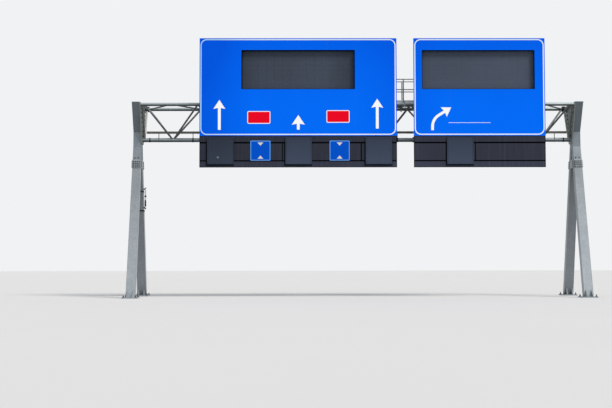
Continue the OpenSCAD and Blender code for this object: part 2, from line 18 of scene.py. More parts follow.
import bmesh
import bpy
from mathutils import Matrix, Vector
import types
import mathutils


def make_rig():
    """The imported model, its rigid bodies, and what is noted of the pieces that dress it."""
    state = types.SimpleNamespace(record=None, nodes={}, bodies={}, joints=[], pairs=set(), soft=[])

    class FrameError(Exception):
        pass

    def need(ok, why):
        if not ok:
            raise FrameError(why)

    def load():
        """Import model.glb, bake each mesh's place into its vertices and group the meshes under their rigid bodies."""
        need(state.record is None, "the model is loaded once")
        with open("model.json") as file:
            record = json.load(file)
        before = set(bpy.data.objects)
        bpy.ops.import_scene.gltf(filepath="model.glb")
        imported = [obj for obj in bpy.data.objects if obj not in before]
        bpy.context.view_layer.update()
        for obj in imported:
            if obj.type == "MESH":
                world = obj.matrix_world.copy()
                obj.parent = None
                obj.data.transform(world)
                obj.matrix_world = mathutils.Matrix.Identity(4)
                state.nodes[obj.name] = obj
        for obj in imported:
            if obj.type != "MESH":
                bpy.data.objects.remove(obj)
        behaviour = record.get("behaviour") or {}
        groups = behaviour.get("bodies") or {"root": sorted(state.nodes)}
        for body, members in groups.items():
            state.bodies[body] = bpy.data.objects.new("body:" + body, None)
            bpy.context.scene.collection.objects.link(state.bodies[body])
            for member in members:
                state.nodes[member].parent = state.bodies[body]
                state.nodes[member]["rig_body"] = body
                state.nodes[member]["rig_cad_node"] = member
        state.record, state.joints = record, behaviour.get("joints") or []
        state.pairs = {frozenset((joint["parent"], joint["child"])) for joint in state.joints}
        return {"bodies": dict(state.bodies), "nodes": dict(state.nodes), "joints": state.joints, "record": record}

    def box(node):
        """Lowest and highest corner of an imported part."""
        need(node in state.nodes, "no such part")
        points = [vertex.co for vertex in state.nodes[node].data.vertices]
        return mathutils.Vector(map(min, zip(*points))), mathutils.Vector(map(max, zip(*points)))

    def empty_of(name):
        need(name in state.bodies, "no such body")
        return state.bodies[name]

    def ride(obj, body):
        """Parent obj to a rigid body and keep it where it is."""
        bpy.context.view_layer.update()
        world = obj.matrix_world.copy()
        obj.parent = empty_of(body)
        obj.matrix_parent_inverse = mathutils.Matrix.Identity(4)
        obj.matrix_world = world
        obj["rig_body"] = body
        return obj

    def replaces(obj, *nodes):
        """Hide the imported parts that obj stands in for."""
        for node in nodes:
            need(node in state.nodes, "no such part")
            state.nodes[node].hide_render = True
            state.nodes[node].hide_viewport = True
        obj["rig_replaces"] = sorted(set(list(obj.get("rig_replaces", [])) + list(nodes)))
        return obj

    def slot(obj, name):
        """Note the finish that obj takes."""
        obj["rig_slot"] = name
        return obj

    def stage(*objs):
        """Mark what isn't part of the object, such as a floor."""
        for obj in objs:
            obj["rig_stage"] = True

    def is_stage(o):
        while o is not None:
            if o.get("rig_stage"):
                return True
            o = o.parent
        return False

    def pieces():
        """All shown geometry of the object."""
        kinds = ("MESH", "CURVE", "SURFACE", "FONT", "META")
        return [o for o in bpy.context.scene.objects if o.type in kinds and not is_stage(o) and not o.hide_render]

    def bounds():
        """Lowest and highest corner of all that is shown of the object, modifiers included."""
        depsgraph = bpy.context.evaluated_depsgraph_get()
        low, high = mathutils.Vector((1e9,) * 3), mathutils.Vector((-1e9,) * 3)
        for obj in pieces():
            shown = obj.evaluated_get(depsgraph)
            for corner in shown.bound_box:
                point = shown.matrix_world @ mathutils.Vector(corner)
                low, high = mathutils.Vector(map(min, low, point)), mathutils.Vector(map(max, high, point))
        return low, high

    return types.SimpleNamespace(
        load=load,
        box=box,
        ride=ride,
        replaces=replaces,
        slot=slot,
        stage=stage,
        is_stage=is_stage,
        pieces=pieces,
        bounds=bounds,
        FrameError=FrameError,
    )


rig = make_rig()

LOG = logging.getLogger("gantry")
BODY = "root"
SIZE_FILE = Path("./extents.json")
WHOLE_TURN = 2 * math.pi

# The ways that fittings stand out
UP = (0, 0, 1)
TO_TRAFFIC = (0, -1, 0)
TO_BACK = (0, 1, 0)

Node = bpy.types.Node
Tree = bpy.types.NodeTree
Piece = bpy.types.Object
Flat = tuple[float, float]
Flats = tuple[Flat, ...]
Floats = tuple[float, ...]
Point = Sequence[float]
# A node by itself stands for its first output
Source = Node | tuple[Node, str | int]


class Side(Enum):
    """The two ends of the gantry, as the names of its nodes have them."""

    LEFT = "left"
    RIGHT = "right"


class Face(Enum):
    """The two sloping sides of the truss, by the sign of their y."""

    FRONT = -1
    REAR = 1


class Axis(Enum):
    """The axes that a slow change in a finish can follow."""

    X = "X"
    Y = "Y"
    Z = "Z"


class Slot(Enum):
    """The record's material slots."""

    LEG = "leg_steel"
    PLATE = "plate_steel"
    TUBE = "tube_steel"
    WALKWAY = "walkway_steel"
    FRAME = "sign_frame"
    SIGN = "sign_face"
    CABINET = "cabinet_paint"
    BOARD = "board_paint"
    SIGNAL = "signal_case"
    DUCT = "duct_steel"
    STRAP = "strap_plastic"


def linear(colour: str) -> Floats:
    """Turns an sRGB hex colour into the linear RGBA that Blender works in.

    Args:
        colour: Six hex digits after a hash sign.

    Returns:
        Red, green, blue and an alpha of 1.
    """
    shares = [int(colour[i : i + 2], 16) / 255 for i in (1, 3, 5)]
    lit = [c / 12.92 if c <= 0.04045 else ((c + 0.055) / 1.055) ** 2.4 for c in shares]
    return *lit, 1.0


def add_node(tree: Tree, kind: str, inputs: Mapping[str | int, Any] | None = None, **settings: Any) -> Node:
    """Adds one shader node with its settings, socket values and incoming links.

    Args:
        tree: The material's or world's node tree.
        kind: The node's type name, after its ShaderNode.
        inputs: For each input socket, the node that feeds it, its hex colour or its value.
        settings: The node's own properties.

    Returns:
        The new node.
    """
    node = tree.nodes.new(f"ShaderNode{kind}")
    for name, setting in settings.items():
        setattr(node, name, setting)
    for socket, given in (inputs or {}).items():
        match given:
            case Node():
                tree.links.new(given.outputs[0], node.inputs[socket])
            case (Node() as feeder, output):
                tree.links.new(feeder.outputs[output], node.inputs[socket])
            case str():
                node.inputs[socket].default_value = linear(given)
            case _:
                node.inputs[socket].default_value = given
    return node


# Socket numbers and settings of the mix node where it mixes or multiplies colours
MIX_A = 6
MIX_B = 7
MIX_OUT = 2
BLEND = {"data_type": "RGBA"}
TINT = {"data_type": "RGBA", "blend_type": "MULTIPLY"}


# Finishes


@dataclass(frozen=True)
class Fade:
    """A slow change of lightness along one axis, from one place to another."""

    axis: Axis
    start: float
    stop: float
    start_share: float
    stop_share: float

    def over(self, tree: Tree, spot: Source, colour: Source) -> Source:
        """Multiplies a colour by the fade.

        Args:
            tree: The material's node tree.
            spot: The place in metres.
            colour: The colour.

        Returns:
            The faded colour.
        """
        parts = add_node(tree, "SeparateXYZ", {"Vector": spot})
        places = {"From Min": self.start, "From Max": self.stop}
        shares = {"To Min": self.start_share, "To Max": self.stop_share}
        share = add_node(tree, "MapRange", {"Value": (parts, self.axis.value), **places, **shares})
        return add_node(tree, "Mix", {0: 1.0, MIX_A: colour, MIX_B: share}, **TINT), MIX_OUT


@dataclass(frozen=True)
class Finish:
    """One finish: what it is, its colour, how it takes light and how deep its pattern is pressed."""

    name: str
    tone: str
    metallic: float = 0.0
    roughness: float = 0.5
    specular: float = 0.5
    coat: float = 0.0
    relief: float = 0.6
    depth: float = 0.0002
    fades: tuple[Fade, ...] = ()

    def material(self) -> bpy.types.Material:
        """Makes the material once, and gives the same one after that.

        Returns:
            The material named for this finish.
        """
        made = bpy.data.materials.get(self.name)
        if made:
            return made
        made = bpy.data.materials.new(self.name)
        made.use_nodes = True
        tree = made.node_tree
        tree.nodes.clear()
        spot = (add_node(tree, "TexCoord"), "Object")
        drawn = self.paint(tree, spot)
        for fade in self.fades:
            drawn["Base Color"] = fade.over(tree, spot, drawn["Base Color"])
        pressed = {"Height": drawn.pop("Height"), "Strength": self.relief, "Distance": self.depth}
        even = {"Metallic": self.metallic, "Roughness": self.roughness}
        even |= {"Specular IOR Level": self.specular, "Coat Weight": self.coat}
        even["Normal"] = add_node(tree, "Bump", pressed)
        shader = add_node(tree, "BsdfPrincipled", even | drawn)
        add_node(tree, "OutputMaterial", {"Surface": shader})
        return made

    def paint(self, tree: Tree, spot: Source) -> dict[str, Source]:
        """Draws the patterns, and gives what feeds the colour, the height and a roughness that varies."""
        raise NotImplementedError


@dataclass(frozen=True)
class Weathered(Finish):
    """A finish that has stood outdoors: dull patches, rain marks, grain, dust on top, soot and painted shade below,
    and painted light on faces that look to the right end.
    """

    patch_tone: str = "#7d8589"
    patch_size: float = 0.6
    patch_share: float = 0.6
    rain_tone: str = "#6a7073"
    rain_share: float = 0.35
    # Rain runs down in bands some 60 mm wide and 1.4 m long
    rain_band: Point = (1 / 16, 1 / 16, 1 / 0.7)
    # Dust on the faces that look up; a pale tone here is painted light on top
    dust_and_top_light_tone: str = "#8d8a80"
    dust_and_top_light_share: float = 0.35
    dust_and_top_light_from: float = 0.55
    # Soot, with painted shade, on the faces that look down
    soot_and_shade_tone: str = "#4e565b"
    soot_and_shade_share: float = 0.0
    # Painted light on the faces that look to the gantry's right end
    lit_side_tone: str = "#c8ccce"
    lit_side_share: float = 0.0
    # The grain of a coat is under 1 mm, drawn at 4 mm so that a near view shows it
    grain_size: float = 0.004
    # Slight cloudiness some 110 mm wide
    cloud_size: float = 1 / 9
    rough_spread: float = 0.08

    def paint(self, tree: Tree, spot: Source) -> dict[str, Source]:
        """Mixes patches, rain marks, dust, soot, and painted light and shade over the tone.

        Args:
            tree: The material's node tree.
            spot: The place in metres.

        Returns:
            What feeds the shader's colour, roughness and height.
        """
        scale = {"Scale": 1 / self.patch_size, "Detail": 5.0, "Roughness": 0.62}
        patches = add_node(tree, "TexNoise", {"Vector": spot, **scale})
        rates = tuple(1 / size for size in self.rain_band)
        fall = add_node(tree, "Mapping", {"Vector": spot, "Scale": rates})
        rain = add_node(tree, "TexNoise", {"Vector": fall, "Scale": 1.0, "Detail": 3.0})
        shape = add_node(tree, "NewGeometry")
        facing = add_node(tree, "SeparateXYZ", {"Vector": (shape, "Normal")})
        # Painted light brightens the faces that look to the right end; dust settles on top, and a pale dust tone
        # paints light there; soot and painted shade darken the faces that look down. Each layer has what steers it,
        # the values at which it starts and is full, its greatest share and its tone.
        layers = (
            (patches, 0.38, 0.66, self.patch_share, self.patch_tone),
            (rain, 0.5, 0.75, self.rain_share, self.rain_tone),
            ((facing, "X"), 0.6, 0.9, self.lit_side_share, self.lit_side_tone),
            ((facing, "Z"), self.dust_and_top_light_from, 0.95, self.dust_and_top_light_share, self.dust_and_top_light_tone),
            ((facing, "Z"), -0.12, -0.42, self.soot_and_shade_share, self.soot_and_shade_tone),
        )
        lightness = self.lightness(tree, spot)
        base = add_node(tree, "Mix", {0: 1.0, MIX_A: self.tone, MIX_B: lightness}, **TINT)
        colour: Source = (base, MIX_OUT)
        for source, start, stop, most, tone in layers:
            ends = {"From Min": start, "From Max": stop, "To Max": most}
            share = add_node(tree, "MapRange", {"Value": source, **ends})
            colour = (add_node(tree, "Mix", {0: share, MIX_A: colour, MIX_B: tone}, **BLEND), MIX_OUT)
        low, high = self.roughness - self.rough_spread, self.roughness + self.rough_spread
        ends = {"From Min": 0.3, "From Max": 0.7, "To Min": low, "To Max": high}
        rough = add_node(tree, "MapRange", {"Value": patches, **ends})
        grain = add_node(tree, "TexNoise", {"Vector": spot, "Scale": 1 / self.grain_size, "Detail": 2.0})
        return {"Base Color": colour, "Roughness": rough, "Height": grain}

    def lightness(self, tree: Tree, spot: Source) -> Source:
        """Gives the lightness of the bare finish, here slightly cloudy.

        Args:
            tree: The material's node tree.
            spot: The place in metres.

        Returns:
            The lightness.
        """
        cloud = add_node(tree, "TexNoise", {"Vector": spot, "Scale": 1 / self.cloud_size, "Detail": 6.0})
        ends = {"From Min": 0.3, "From Max": 0.7, "To Min": 0.92, "To Max": 1.06}
        return add_node(tree, "MapRange", {"Value": cloud, **ends})


@dataclass(frozen=True)
class Galvanised(Weathered):
    """Hot-dip galvanised steel: zinc crystals, dulled to a soft grey with a low, broad shine."""

    metallic: float = 0.35
    roughness: float = 0.55
    patch_size: float = 0.4
    # Real zinc crystals are 8 to 20 mm wide, drawn at 45 mm because smaller ones don't show
    crystal_size: float = 0.045

    def lightness(self, tree: Tree, spot: Source) -> Source:
        """Gives each zinc crystal its own lightness.

        Args:
            tree: The material's node tree.
            spot: The place in metres.

        Returns:
            The lightness.
        """
        crystals = add_node(tree, "TexVoronoi", {"Vector": spot, "Scale": 1 / self.crystal_size})
        part = add_node(tree, "SeparateColor", {"Color": (crystals, "Color")})
        return add_node(tree, "MapRange", {"Value": part, "To Min": 0.88, "To Max": 1.1})


@dataclass(frozen=True)
class PaintedShade:
    """A stretch along one axis where painted shade darkens a film: its middle, its reach and its most shade."""

    axis: Axis
    middle: float
    reach: float
    most: float


@dataclass(frozen=True)
class BeadedFilm(Finish):
    """Retroreflective film: a saturated colour under a clear skin, with a fine mesh of sealed cells."""

    roughness: float = 0.4
    specular: float = 0.3
    relief: float = 0.3
    shade_tone: str = "#004cd2"
    wall_tone: str = "#2f80ff"
    painted_shades: tuple[PaintedShade, ...] = ()
    # Sealed cells are 3 to 4 mm wide, drawn at 12 mm so that a near view shows them
    cell_size: float = 0.012
    sheet_size: float = 2.2

    def paint(self, tree: Tree, spot: Source) -> dict[str, Source]:
        """Mixes slow random shade and painted shade over the film and draws its cells.

        Args:
            tree: The material's node tree.
            spot: The place in metres.

        Returns:
            What feeds the shader's colour and height.
        """
        slow = add_node(tree, "TexNoise", {"Vector": spot, "Scale": 1 / self.sheet_size, "Detail": 2.0})
        ends = {"From Min": 0.35, "From Max": 0.7, "To Max": 0.1}
        shade = add_node(tree, "MapRange", {"Value": slow, **ends})
        parts = add_node(tree, "SeparateXYZ", {"Vector": spot})
        # Each stretch adds painted shade, most at its middle
        for deep in self.painted_shades:
            place = (parts, deep.axis.value)
            off = add_node(tree, "Math", {0: place, 1: deep.middle}, operation="SUBTRACT")
            far = add_node(tree, "Math", {0: off}, operation="ABSOLUTE")
            ends = {"From Max": deep.reach, "To Min": deep.most, "To Max": 0.0}
            drift = add_node(tree, "MapRange", {"Value": far, **ends})
            shade = add_node(tree, "Math", {0: shade, 1: drift}, operation="ADD", use_clamp=True)
        cells = {"Vector": spot, "Scale": 1 / self.cell_size, "Randomness": 0.15}
        mesh = add_node(tree, "TexVoronoi", cells, feature="DISTANCE_TO_EDGE")
        ends = {"From Max": 0.09, "To Min": 0.12, "To Max": 0.0}
        wall = add_node(tree, "MapRange", {"Value": (mesh, "Distance"), **ends})
        tones = {0: shade, MIX_A: self.tone, MIX_B: self.shade_tone}
        tones = {0: wall, MIX_A: (add_node(tree, "Mix", tones, **BLEND), MIX_OUT), MIX_B: self.wall_tone}
        walled = add_node(tree, "Mix", tones, **BLEND)
        return {"Base Color": (walled, MIX_OUT), "Height": wall}


@dataclass(frozen=True)
class LampGrid(Finish):
    """A dark plate set with rows of small lamps, each a slightly lighter lens in its own well."""

    specular: float = 0.15
    relief: float = 0.5
    depth: float = 0.002
    lens_tone: str = "#5a616e"
    cloud_tone: str = "#353a44"
    # Real lamps stand some 20 mm apart, drawn at 30 and 40 mm because closer ones don't show
    pitch: float = 0.04
    lens_share: float = 0.33
    # Dust lies in clouds some 770 mm wide
    cloud_size: float = 1 / 1.3

    def paint(self, tree: Tree, spot: Source) -> dict[str, Source]:
        """Sets round lenses on a square grid in the X and Z directions.

        Args:
            tree: The material's node tree.
            spot: The place in metres.

        Returns:
            What feeds the shader's colour and height.
        """
        rate = 1 / self.pitch
        grid = add_node(tree, "Mapping", {"Vector": spot, "Scale": (rate, 0.0, rate)})
        cell = add_node(tree, "VectorMath", {0: grid}, operation="FRACTION")
        off = add_node(tree, "VectorMath", {0: cell, 1: (0.5, 0.0, 0.5)}, operation="DISTANCE")
        edge = self.lens_share
        ends = {"From Min": edge * 0.8, "From Max": edge, "To Min": 1.0, "To Max": 0.0}
        lens = add_node(tree, "MapRange", {"Value": (off, "Value"), **ends})
        cloud = add_node(tree, "TexNoise", {"Vector": spot, "Scale": 1 / self.cloud_size, "Detail": 3.0})
        ends = {"From Min": 0.4, "From Max": 0.65, "To Max": 0.6}
        share = add_node(tree, "MapRange", {"Value": cloud, **ends})
        tones = {0: share, MIX_A: self.tone, MIX_B: self.cloud_tone}
        plate = (add_node(tree, "Mix", tones, **BLEND), MIX_OUT)
        colour = add_node(tree, "Mix", {0: lens, MIX_A: plate, MIX_B: self.lens_tone}, **BLEND)
        return {"Base Color": (colour, MIX_OUT), "Height": lens}


# The lane signals stand in more light towards the gantry's right end and low down
SIGNAL_FADES = (Fade(Axis.X, -5.6, -3.2, 0.62, 1.0), Fade(Axis.Z, 5.3, 6.3, 1.22, 0.84))
# Zinc from the bath dries soft grey and cloudy and streaked by rain; soot and painted shade darken it where it looks
# down, painted light brightens the faces to the right end, and painted light and shade make it lighter low down and
# darker up towards the truss
LEG_STEEL = Galvanised(
    "hot-dip galvanised box section", "#959da4", patch_tone="#878f96", patch_size=0.9,
    rain_tone="#7a8288", soot_and_shade_tone="#3a4044", soot_and_shade_share=0.9, lit_side_share=0.4,
    fades=(Fade(Axis.Z, 1.0, 4.6, 1.2, 0.88),),
)
# The same zinc in the truss's shelter: duller and darker, partly as painted shade, with soot and painted shade on the
# faces that look down
ARM_STEEL = Galvanised(
    "hot-dip galvanised box section, sooted below", "#828c94", patch_tone="#737d84",
    patch_size=0.7, rain_tone="#636c72", soot_and_shade_tone="#5b646a", soot_and_shade_share=0.85,
)
# Thick plate takes a heavy, matt coat, so the covers stand out a little lighter
SPLICE_STEEL = Galvanised(
    "hot-dip galvanised cover plate", "#98a1a8", roughness=0.6, patch_tone="#868f96", patch_size=0.25,
    rain_tone="#6f787e",
)
# Old zinc goes a flat grey with a trace of green
PLATE_STEEL = Galvanised(
    "hot-dip galvanised plate, dulled", "#7d8583", roughness=0.62, patch_tone="#6b7371",
    rain_tone="#5e6563",
)
# Tube takes a smooth coat that shines; a pale tone on its top is painted light, and soot and painted shade make it
# black beneath
TUBE_STEEL = Galvanised(
    "hot-dip galvanised tube", "#8a969a", metallic=0.6, roughness=0.45, patch_tone="#747d82",
    patch_size=0.5, rain_tone="#687074", soot_and_shade_tone="#2c3234", soot_and_shade_share=0.85, dust_and_top_light_tone="#c4ced2",
    dust_and_top_light_share=0.8, dust_and_top_light_from=-0.05,
)
# Thin bars in the truss's own shade: dull on top, black beneath, bright at the open left end
BAR_STEEL = Galvanised(
    "hot-dip galvanised bar, dulled", "#70777b", metallic=0.4, patch_tone="#5f6669",
    rain_tone="#53595b", soot_and_shade_tone="#2c3133", soot_and_shade_share=0.8,
    fades=(Fade(Axis.X, -8.34, -8.22, 2.4, 1.0),),
)
# Newer zinc with few marks, bright behind and in the plate's shade in front
STRUT_STEEL = Galvanised(
    "hot-dip galvanised strut, bright", "#a9aeab", metallic=0.3, roughness=0.5, patch_tone="#979c99",
    rain_tone="#838885", fades=(Fade(Axis.Y, -0.15, 0.1, 0.32, 1.1),),
)
# Thin rolled sheet keeps its bright zinc, and its tone is painted lighter still as painted light, so the boards read
# as a pale line
TOE_STEEL = Galvanised(
    "hot-dip galvanised sheet", "#d2d9de", metallic=0.6, roughness=0.4, patch_tone="#c6ced4",
    rain_tone="#b4bcc2",
)
# Handrail tube and grating bars: a smooth, even grey that small patches break up
RAIL_STEEL = Galvanised(
    "hot-dip galvanised handrail", "#9aa2a8", metallic=0.4, roughness=0.45, patch_tone="#868e94",
    patch_size=0.3, rain_tone="#777f84",
)
# Zinc over a rippled bead: a rough, grainy line, darker than the steel beside it
WELD_STEEL = Weathered(
    "zinc over weld metal", "#7d8588", metallic=0.45, patch_tone="#646a6a", grain_size=0.008,
    depth=0.001,
)
# Spun zinc with grease and dirt in its threads, darkened further as painted shade, so heads and nuts read as small
# dark dots
BOLT_STEEL = Weathered(
    "spun galvanised fasteners, grimy, with painted shade", "#464b4f", metallic=0.45, patch_tone="#3b3a38", patch_size=0.09,
    patch_share=0.45,
)
# Thin pipe with a young skin of zinc, pale where it mirrors the sky
PIPE_STEEL = Galvanised(
    "galvanised conduit pipe", "#b2bac0", metallic=0.7, roughness=0.4, patch_tone="#a2aab0",
    patch_size=0.3, rain_tone="#90989e", crystal_size=0.02,
)
# Cast iron under years of grime, black and dull, and darker still as painted shade where the chords meet the end
# plates
GRIME_AND_SHADE_STEEL = Weathered(
    "cast clamp, black with grime and painted shade", "#26292b", roughness=0.7, specular=0.2, patch_tone="#1e2122",
    patch_size=0.1, rain_tone="#303334", dust_and_top_light_tone="#4a4a46",
)
# Mill aluminium shows a soft grey, cloudy with oxide, on the back of the panels
PANEL_METAL = Weathered(
    "mill-finish aluminium sheet", "#a3a9ad", metallic=0.55, roughness=0.42, patch_tone="#8f969a",
    patch_size=1.2, rain_tone="#858b8e",
)
# Extruded aluminium is smoother than the sheet and a shade darker
FRAME_METAL = Weathered(
    "extruded aluminium section", "#9aa0a4", metallic=0.55, roughness=0.4, patch_tone="#878e92",
    patch_size=0.5,
)
# Beads under a blue skin: a pure blue, with painted shade towards the left end, beside the gap and towards the top
BLUE_FILM = BeadedFilm(
    "blue retroreflective film", "#006eff", roughness=0.38, specular=0.02, shade_tone="#0056e4",
    painted_shades=(PaintedShade(Axis.X, -6.8, 2.6, 1.1), PaintedShade(Axis.X, 1.65, 1.8, 0.35), PaintedShade(Axis.Z, 10.6, 3.0, 0.6)),
)
# A sheet of deeper film that throws less light back
PLATE_FILM = BeadedFilm(
    "blue retroreflective film, deep", "#0050c8", roughness=0.38, specular=0.02
)
# White film throws nearly all light back, with a faint net of cell walls
WHITE_FILM = BeadedFilm(
    "white retroreflective film", "#ffffff", shade_tone="#f0f6fa", wall_tone="#e4ecf2"
)
# A thin white line, faintly blue, with painted shade that turns it bluer towards the left end and the top
EDGE_FILM = BeadedFilm(
    "white retroreflective film, edge line", "#f4fbff", shade_tone="#a6d4f2", wall_tone="#dceaf6",
    painted_shades=(PaintedShade(Axis.X, -6.8, 2.9, 1.0), PaintedShade(Axis.Z, 10.6, 3.0, 0.4)),
)
# White film that has yellowed and lost some of its light
CREAM_FILM = BeadedFilm(
    "cream retroreflective film", "#dad9d0", shade_tone="#cccbc2", wall_tone="#c8c7be"
)
# Clear red ink over beads: a pure red, slightly lighter along the cell walls
RED_FILM = BeadedFilm(
    "red retroreflective film", "#ee0021", roughness=0.38, specular=0.04, shade_tone="#d8001c",
    wall_tone="#ff3048",
)
# A white line under a blue haze, softer than the marks inside it
PALE_BLUE_FILM = BeadedFilm(
    "pale blue film, edge line", "#74b6ec", shade_tone="#68a8e0", wall_tone="#8cc4f0"
)
# Dim lenses in a moulded black face: slate, with painted light and shade: darker at the left end and lighter to the
# right, darker by the left window's walls, and lighter along the bottom
DISPLAY_FACE = LampGrid(
    "display lamps in a black moulded face", "#333c4c", roughness=0.45, lens_tone="#566070",
    cloud_tone="#303744",
    fades=(
        Fade(Axis.X, -4.6, 6.0, 0.84, 1.26),
        Fade(Axis.X, -4.35, -3.9, 0.9, 1.0),
        Fade(Axis.X, -1.3, -0.6, 1.0, 0.74),
        Fade(Axis.X, 0.5, 1.5, 1.0, 1.35),
        Fade(Axis.Z, 8.25, 8.75, 1.16, 1.0),
    ),
)
# Finer lamps in a glossier face, so it reads a little bluer
SIGNAL_FACE = LampGrid(
    "signal lamps in a black moulded face", "#303a4c", roughness=0.4, lens_tone="#434f64",
    cloud_tone="#2f3949", pitch=0.03, fades=SIGNAL_FADES,
)
# Baked powder paint: an even mid grey with a weak sheen
CABINET_PAINT = Weathered(
    "grey powder-coated aluminium", "#6f7780", patch_tone="#626a72", patch_size=0.8, rain_tone="#585f66"
)
# The same paint in black, chalky where rain has run
LINER_PAINT = Weathered(
    "black powder-coated aluminium", "#202228", roughness=0.6, specular=0.2, patch_tone="#1e2025",
    patch_size=0.5, rain_tone="#34363c", dust_and_top_light_tone="#4c4a48",
)
# Charcoal paint that mirrors a little sky: nearly black, darker towards the left end, lightest at the right board's
# left end, and lighter along its lower edge
BOARD_PAINT = Weathered(
    "charcoal powder-coated sheet", "#242836", roughness=0.55, specular=0.2, patch_tone="#232733",
    patch_size=0.7, rain_tone="#363945", rain_share=0.5, dust_and_top_light_tone="#55524f",
    fades=(
        Fade(Axis.X, -6.2, 0.0, 0.86, 1.0),
        Fade(Axis.X, 0.9, 2.0, 1.0, 1.42),
        Fade(Axis.X, 2.1, 3.2, 1.0, 0.8),
        Fade(Axis.Z, 5.37, 5.43, 1.5, 1.0),
    ),
)
# Slate paint, bluer and lighter than the board behind it
SIGNAL_CASE = Weathered(
    "slate powder-coated case", "#334052", specular=0.2, patch_tone="#323e4f", patch_size=0.5,
    rain_tone="#445062", dust_and_top_light_tone="#5c6066", fades=SIGNAL_FADES,
)
# Sheet that was galvanised before it was folded, brown with the road's dust
DUCT_STEEL = Galvanised(
    "pre-galvanised duct sheet, grimy", "#68675f", metallic=0.3, roughness=0.5, patch_tone="#5b5a53",
    patch_size=0.6, rain_tone="#504f49", crystal_size=0.03,
)
# Rubber filled with carbon gives back almost nothing, so the joints read as black lines; in the boards' grooves and
# along the windows' tops and right sides it also stands in for shade
SEAL_RUBBER = Weathered(
    "black rubber seal", "#040509", roughness=0.85, specular=0.02, patch_tone="#06070c", patch_size=0.2,
    rain_tone="#0c0d12", rain_share=0.3, dust_and_top_light_tone="#22221f",
)
# Open foam is nearly as dark, and chalkier; round the lane signals it stands in for the shadow that each case casts
SHADE_GASKET_FOAM = Weathered(
    "dark foam gasket", "#10121a", roughness=0.85, specular=0.05, patch_tone="#0d0f16", patch_size=0.2,
    rain_tone="#16181f", rain_share=0.3, dust_and_top_light_tone="#22221f",
)
# Extruded plastic, pale and chalky from the sun
SLEEVE_PLASTIC = Weathered(
    "pale grey extruded conduit", "#dcdddc", roughness=0.45, patch_tone="#d0d1d0", patch_size=0.2,
    rain_tone="#bcbdbc",
)
# Moulded nylon: black with a weak sheen, greyed by the sun in spots
STRAP_PLASTIC = Weathered(
    "black moulded nylon", "#1c1e22", roughness=0.55, specular=0.25, patch_tone="#2a2c30",
    patch_size=0.05, rain_share=0.1, dust_and_top_light_tone="#3c3a38",
)
# A smooth clear lens over a dark cell: one small highlight
GLASS = Weathered(
    "toughened lens glass", "#5a6878", roughness=0.15, coat=0.3, patch_tone="#4c5a6a", patch_size=0.05,
    rain_share=0.0, dust_and_top_light_share=0.1, depth=0.00002,
)


# Mesh making


def circle(count: int) -> list[Flat]:
    """Gives evenly spaced points round a circle with a radius of 1."""
    turns = [WHOLE_TURN * k / count for k in range(count)]
    return [(math.cos(turn), math.sin(turn)) for turn in turns]


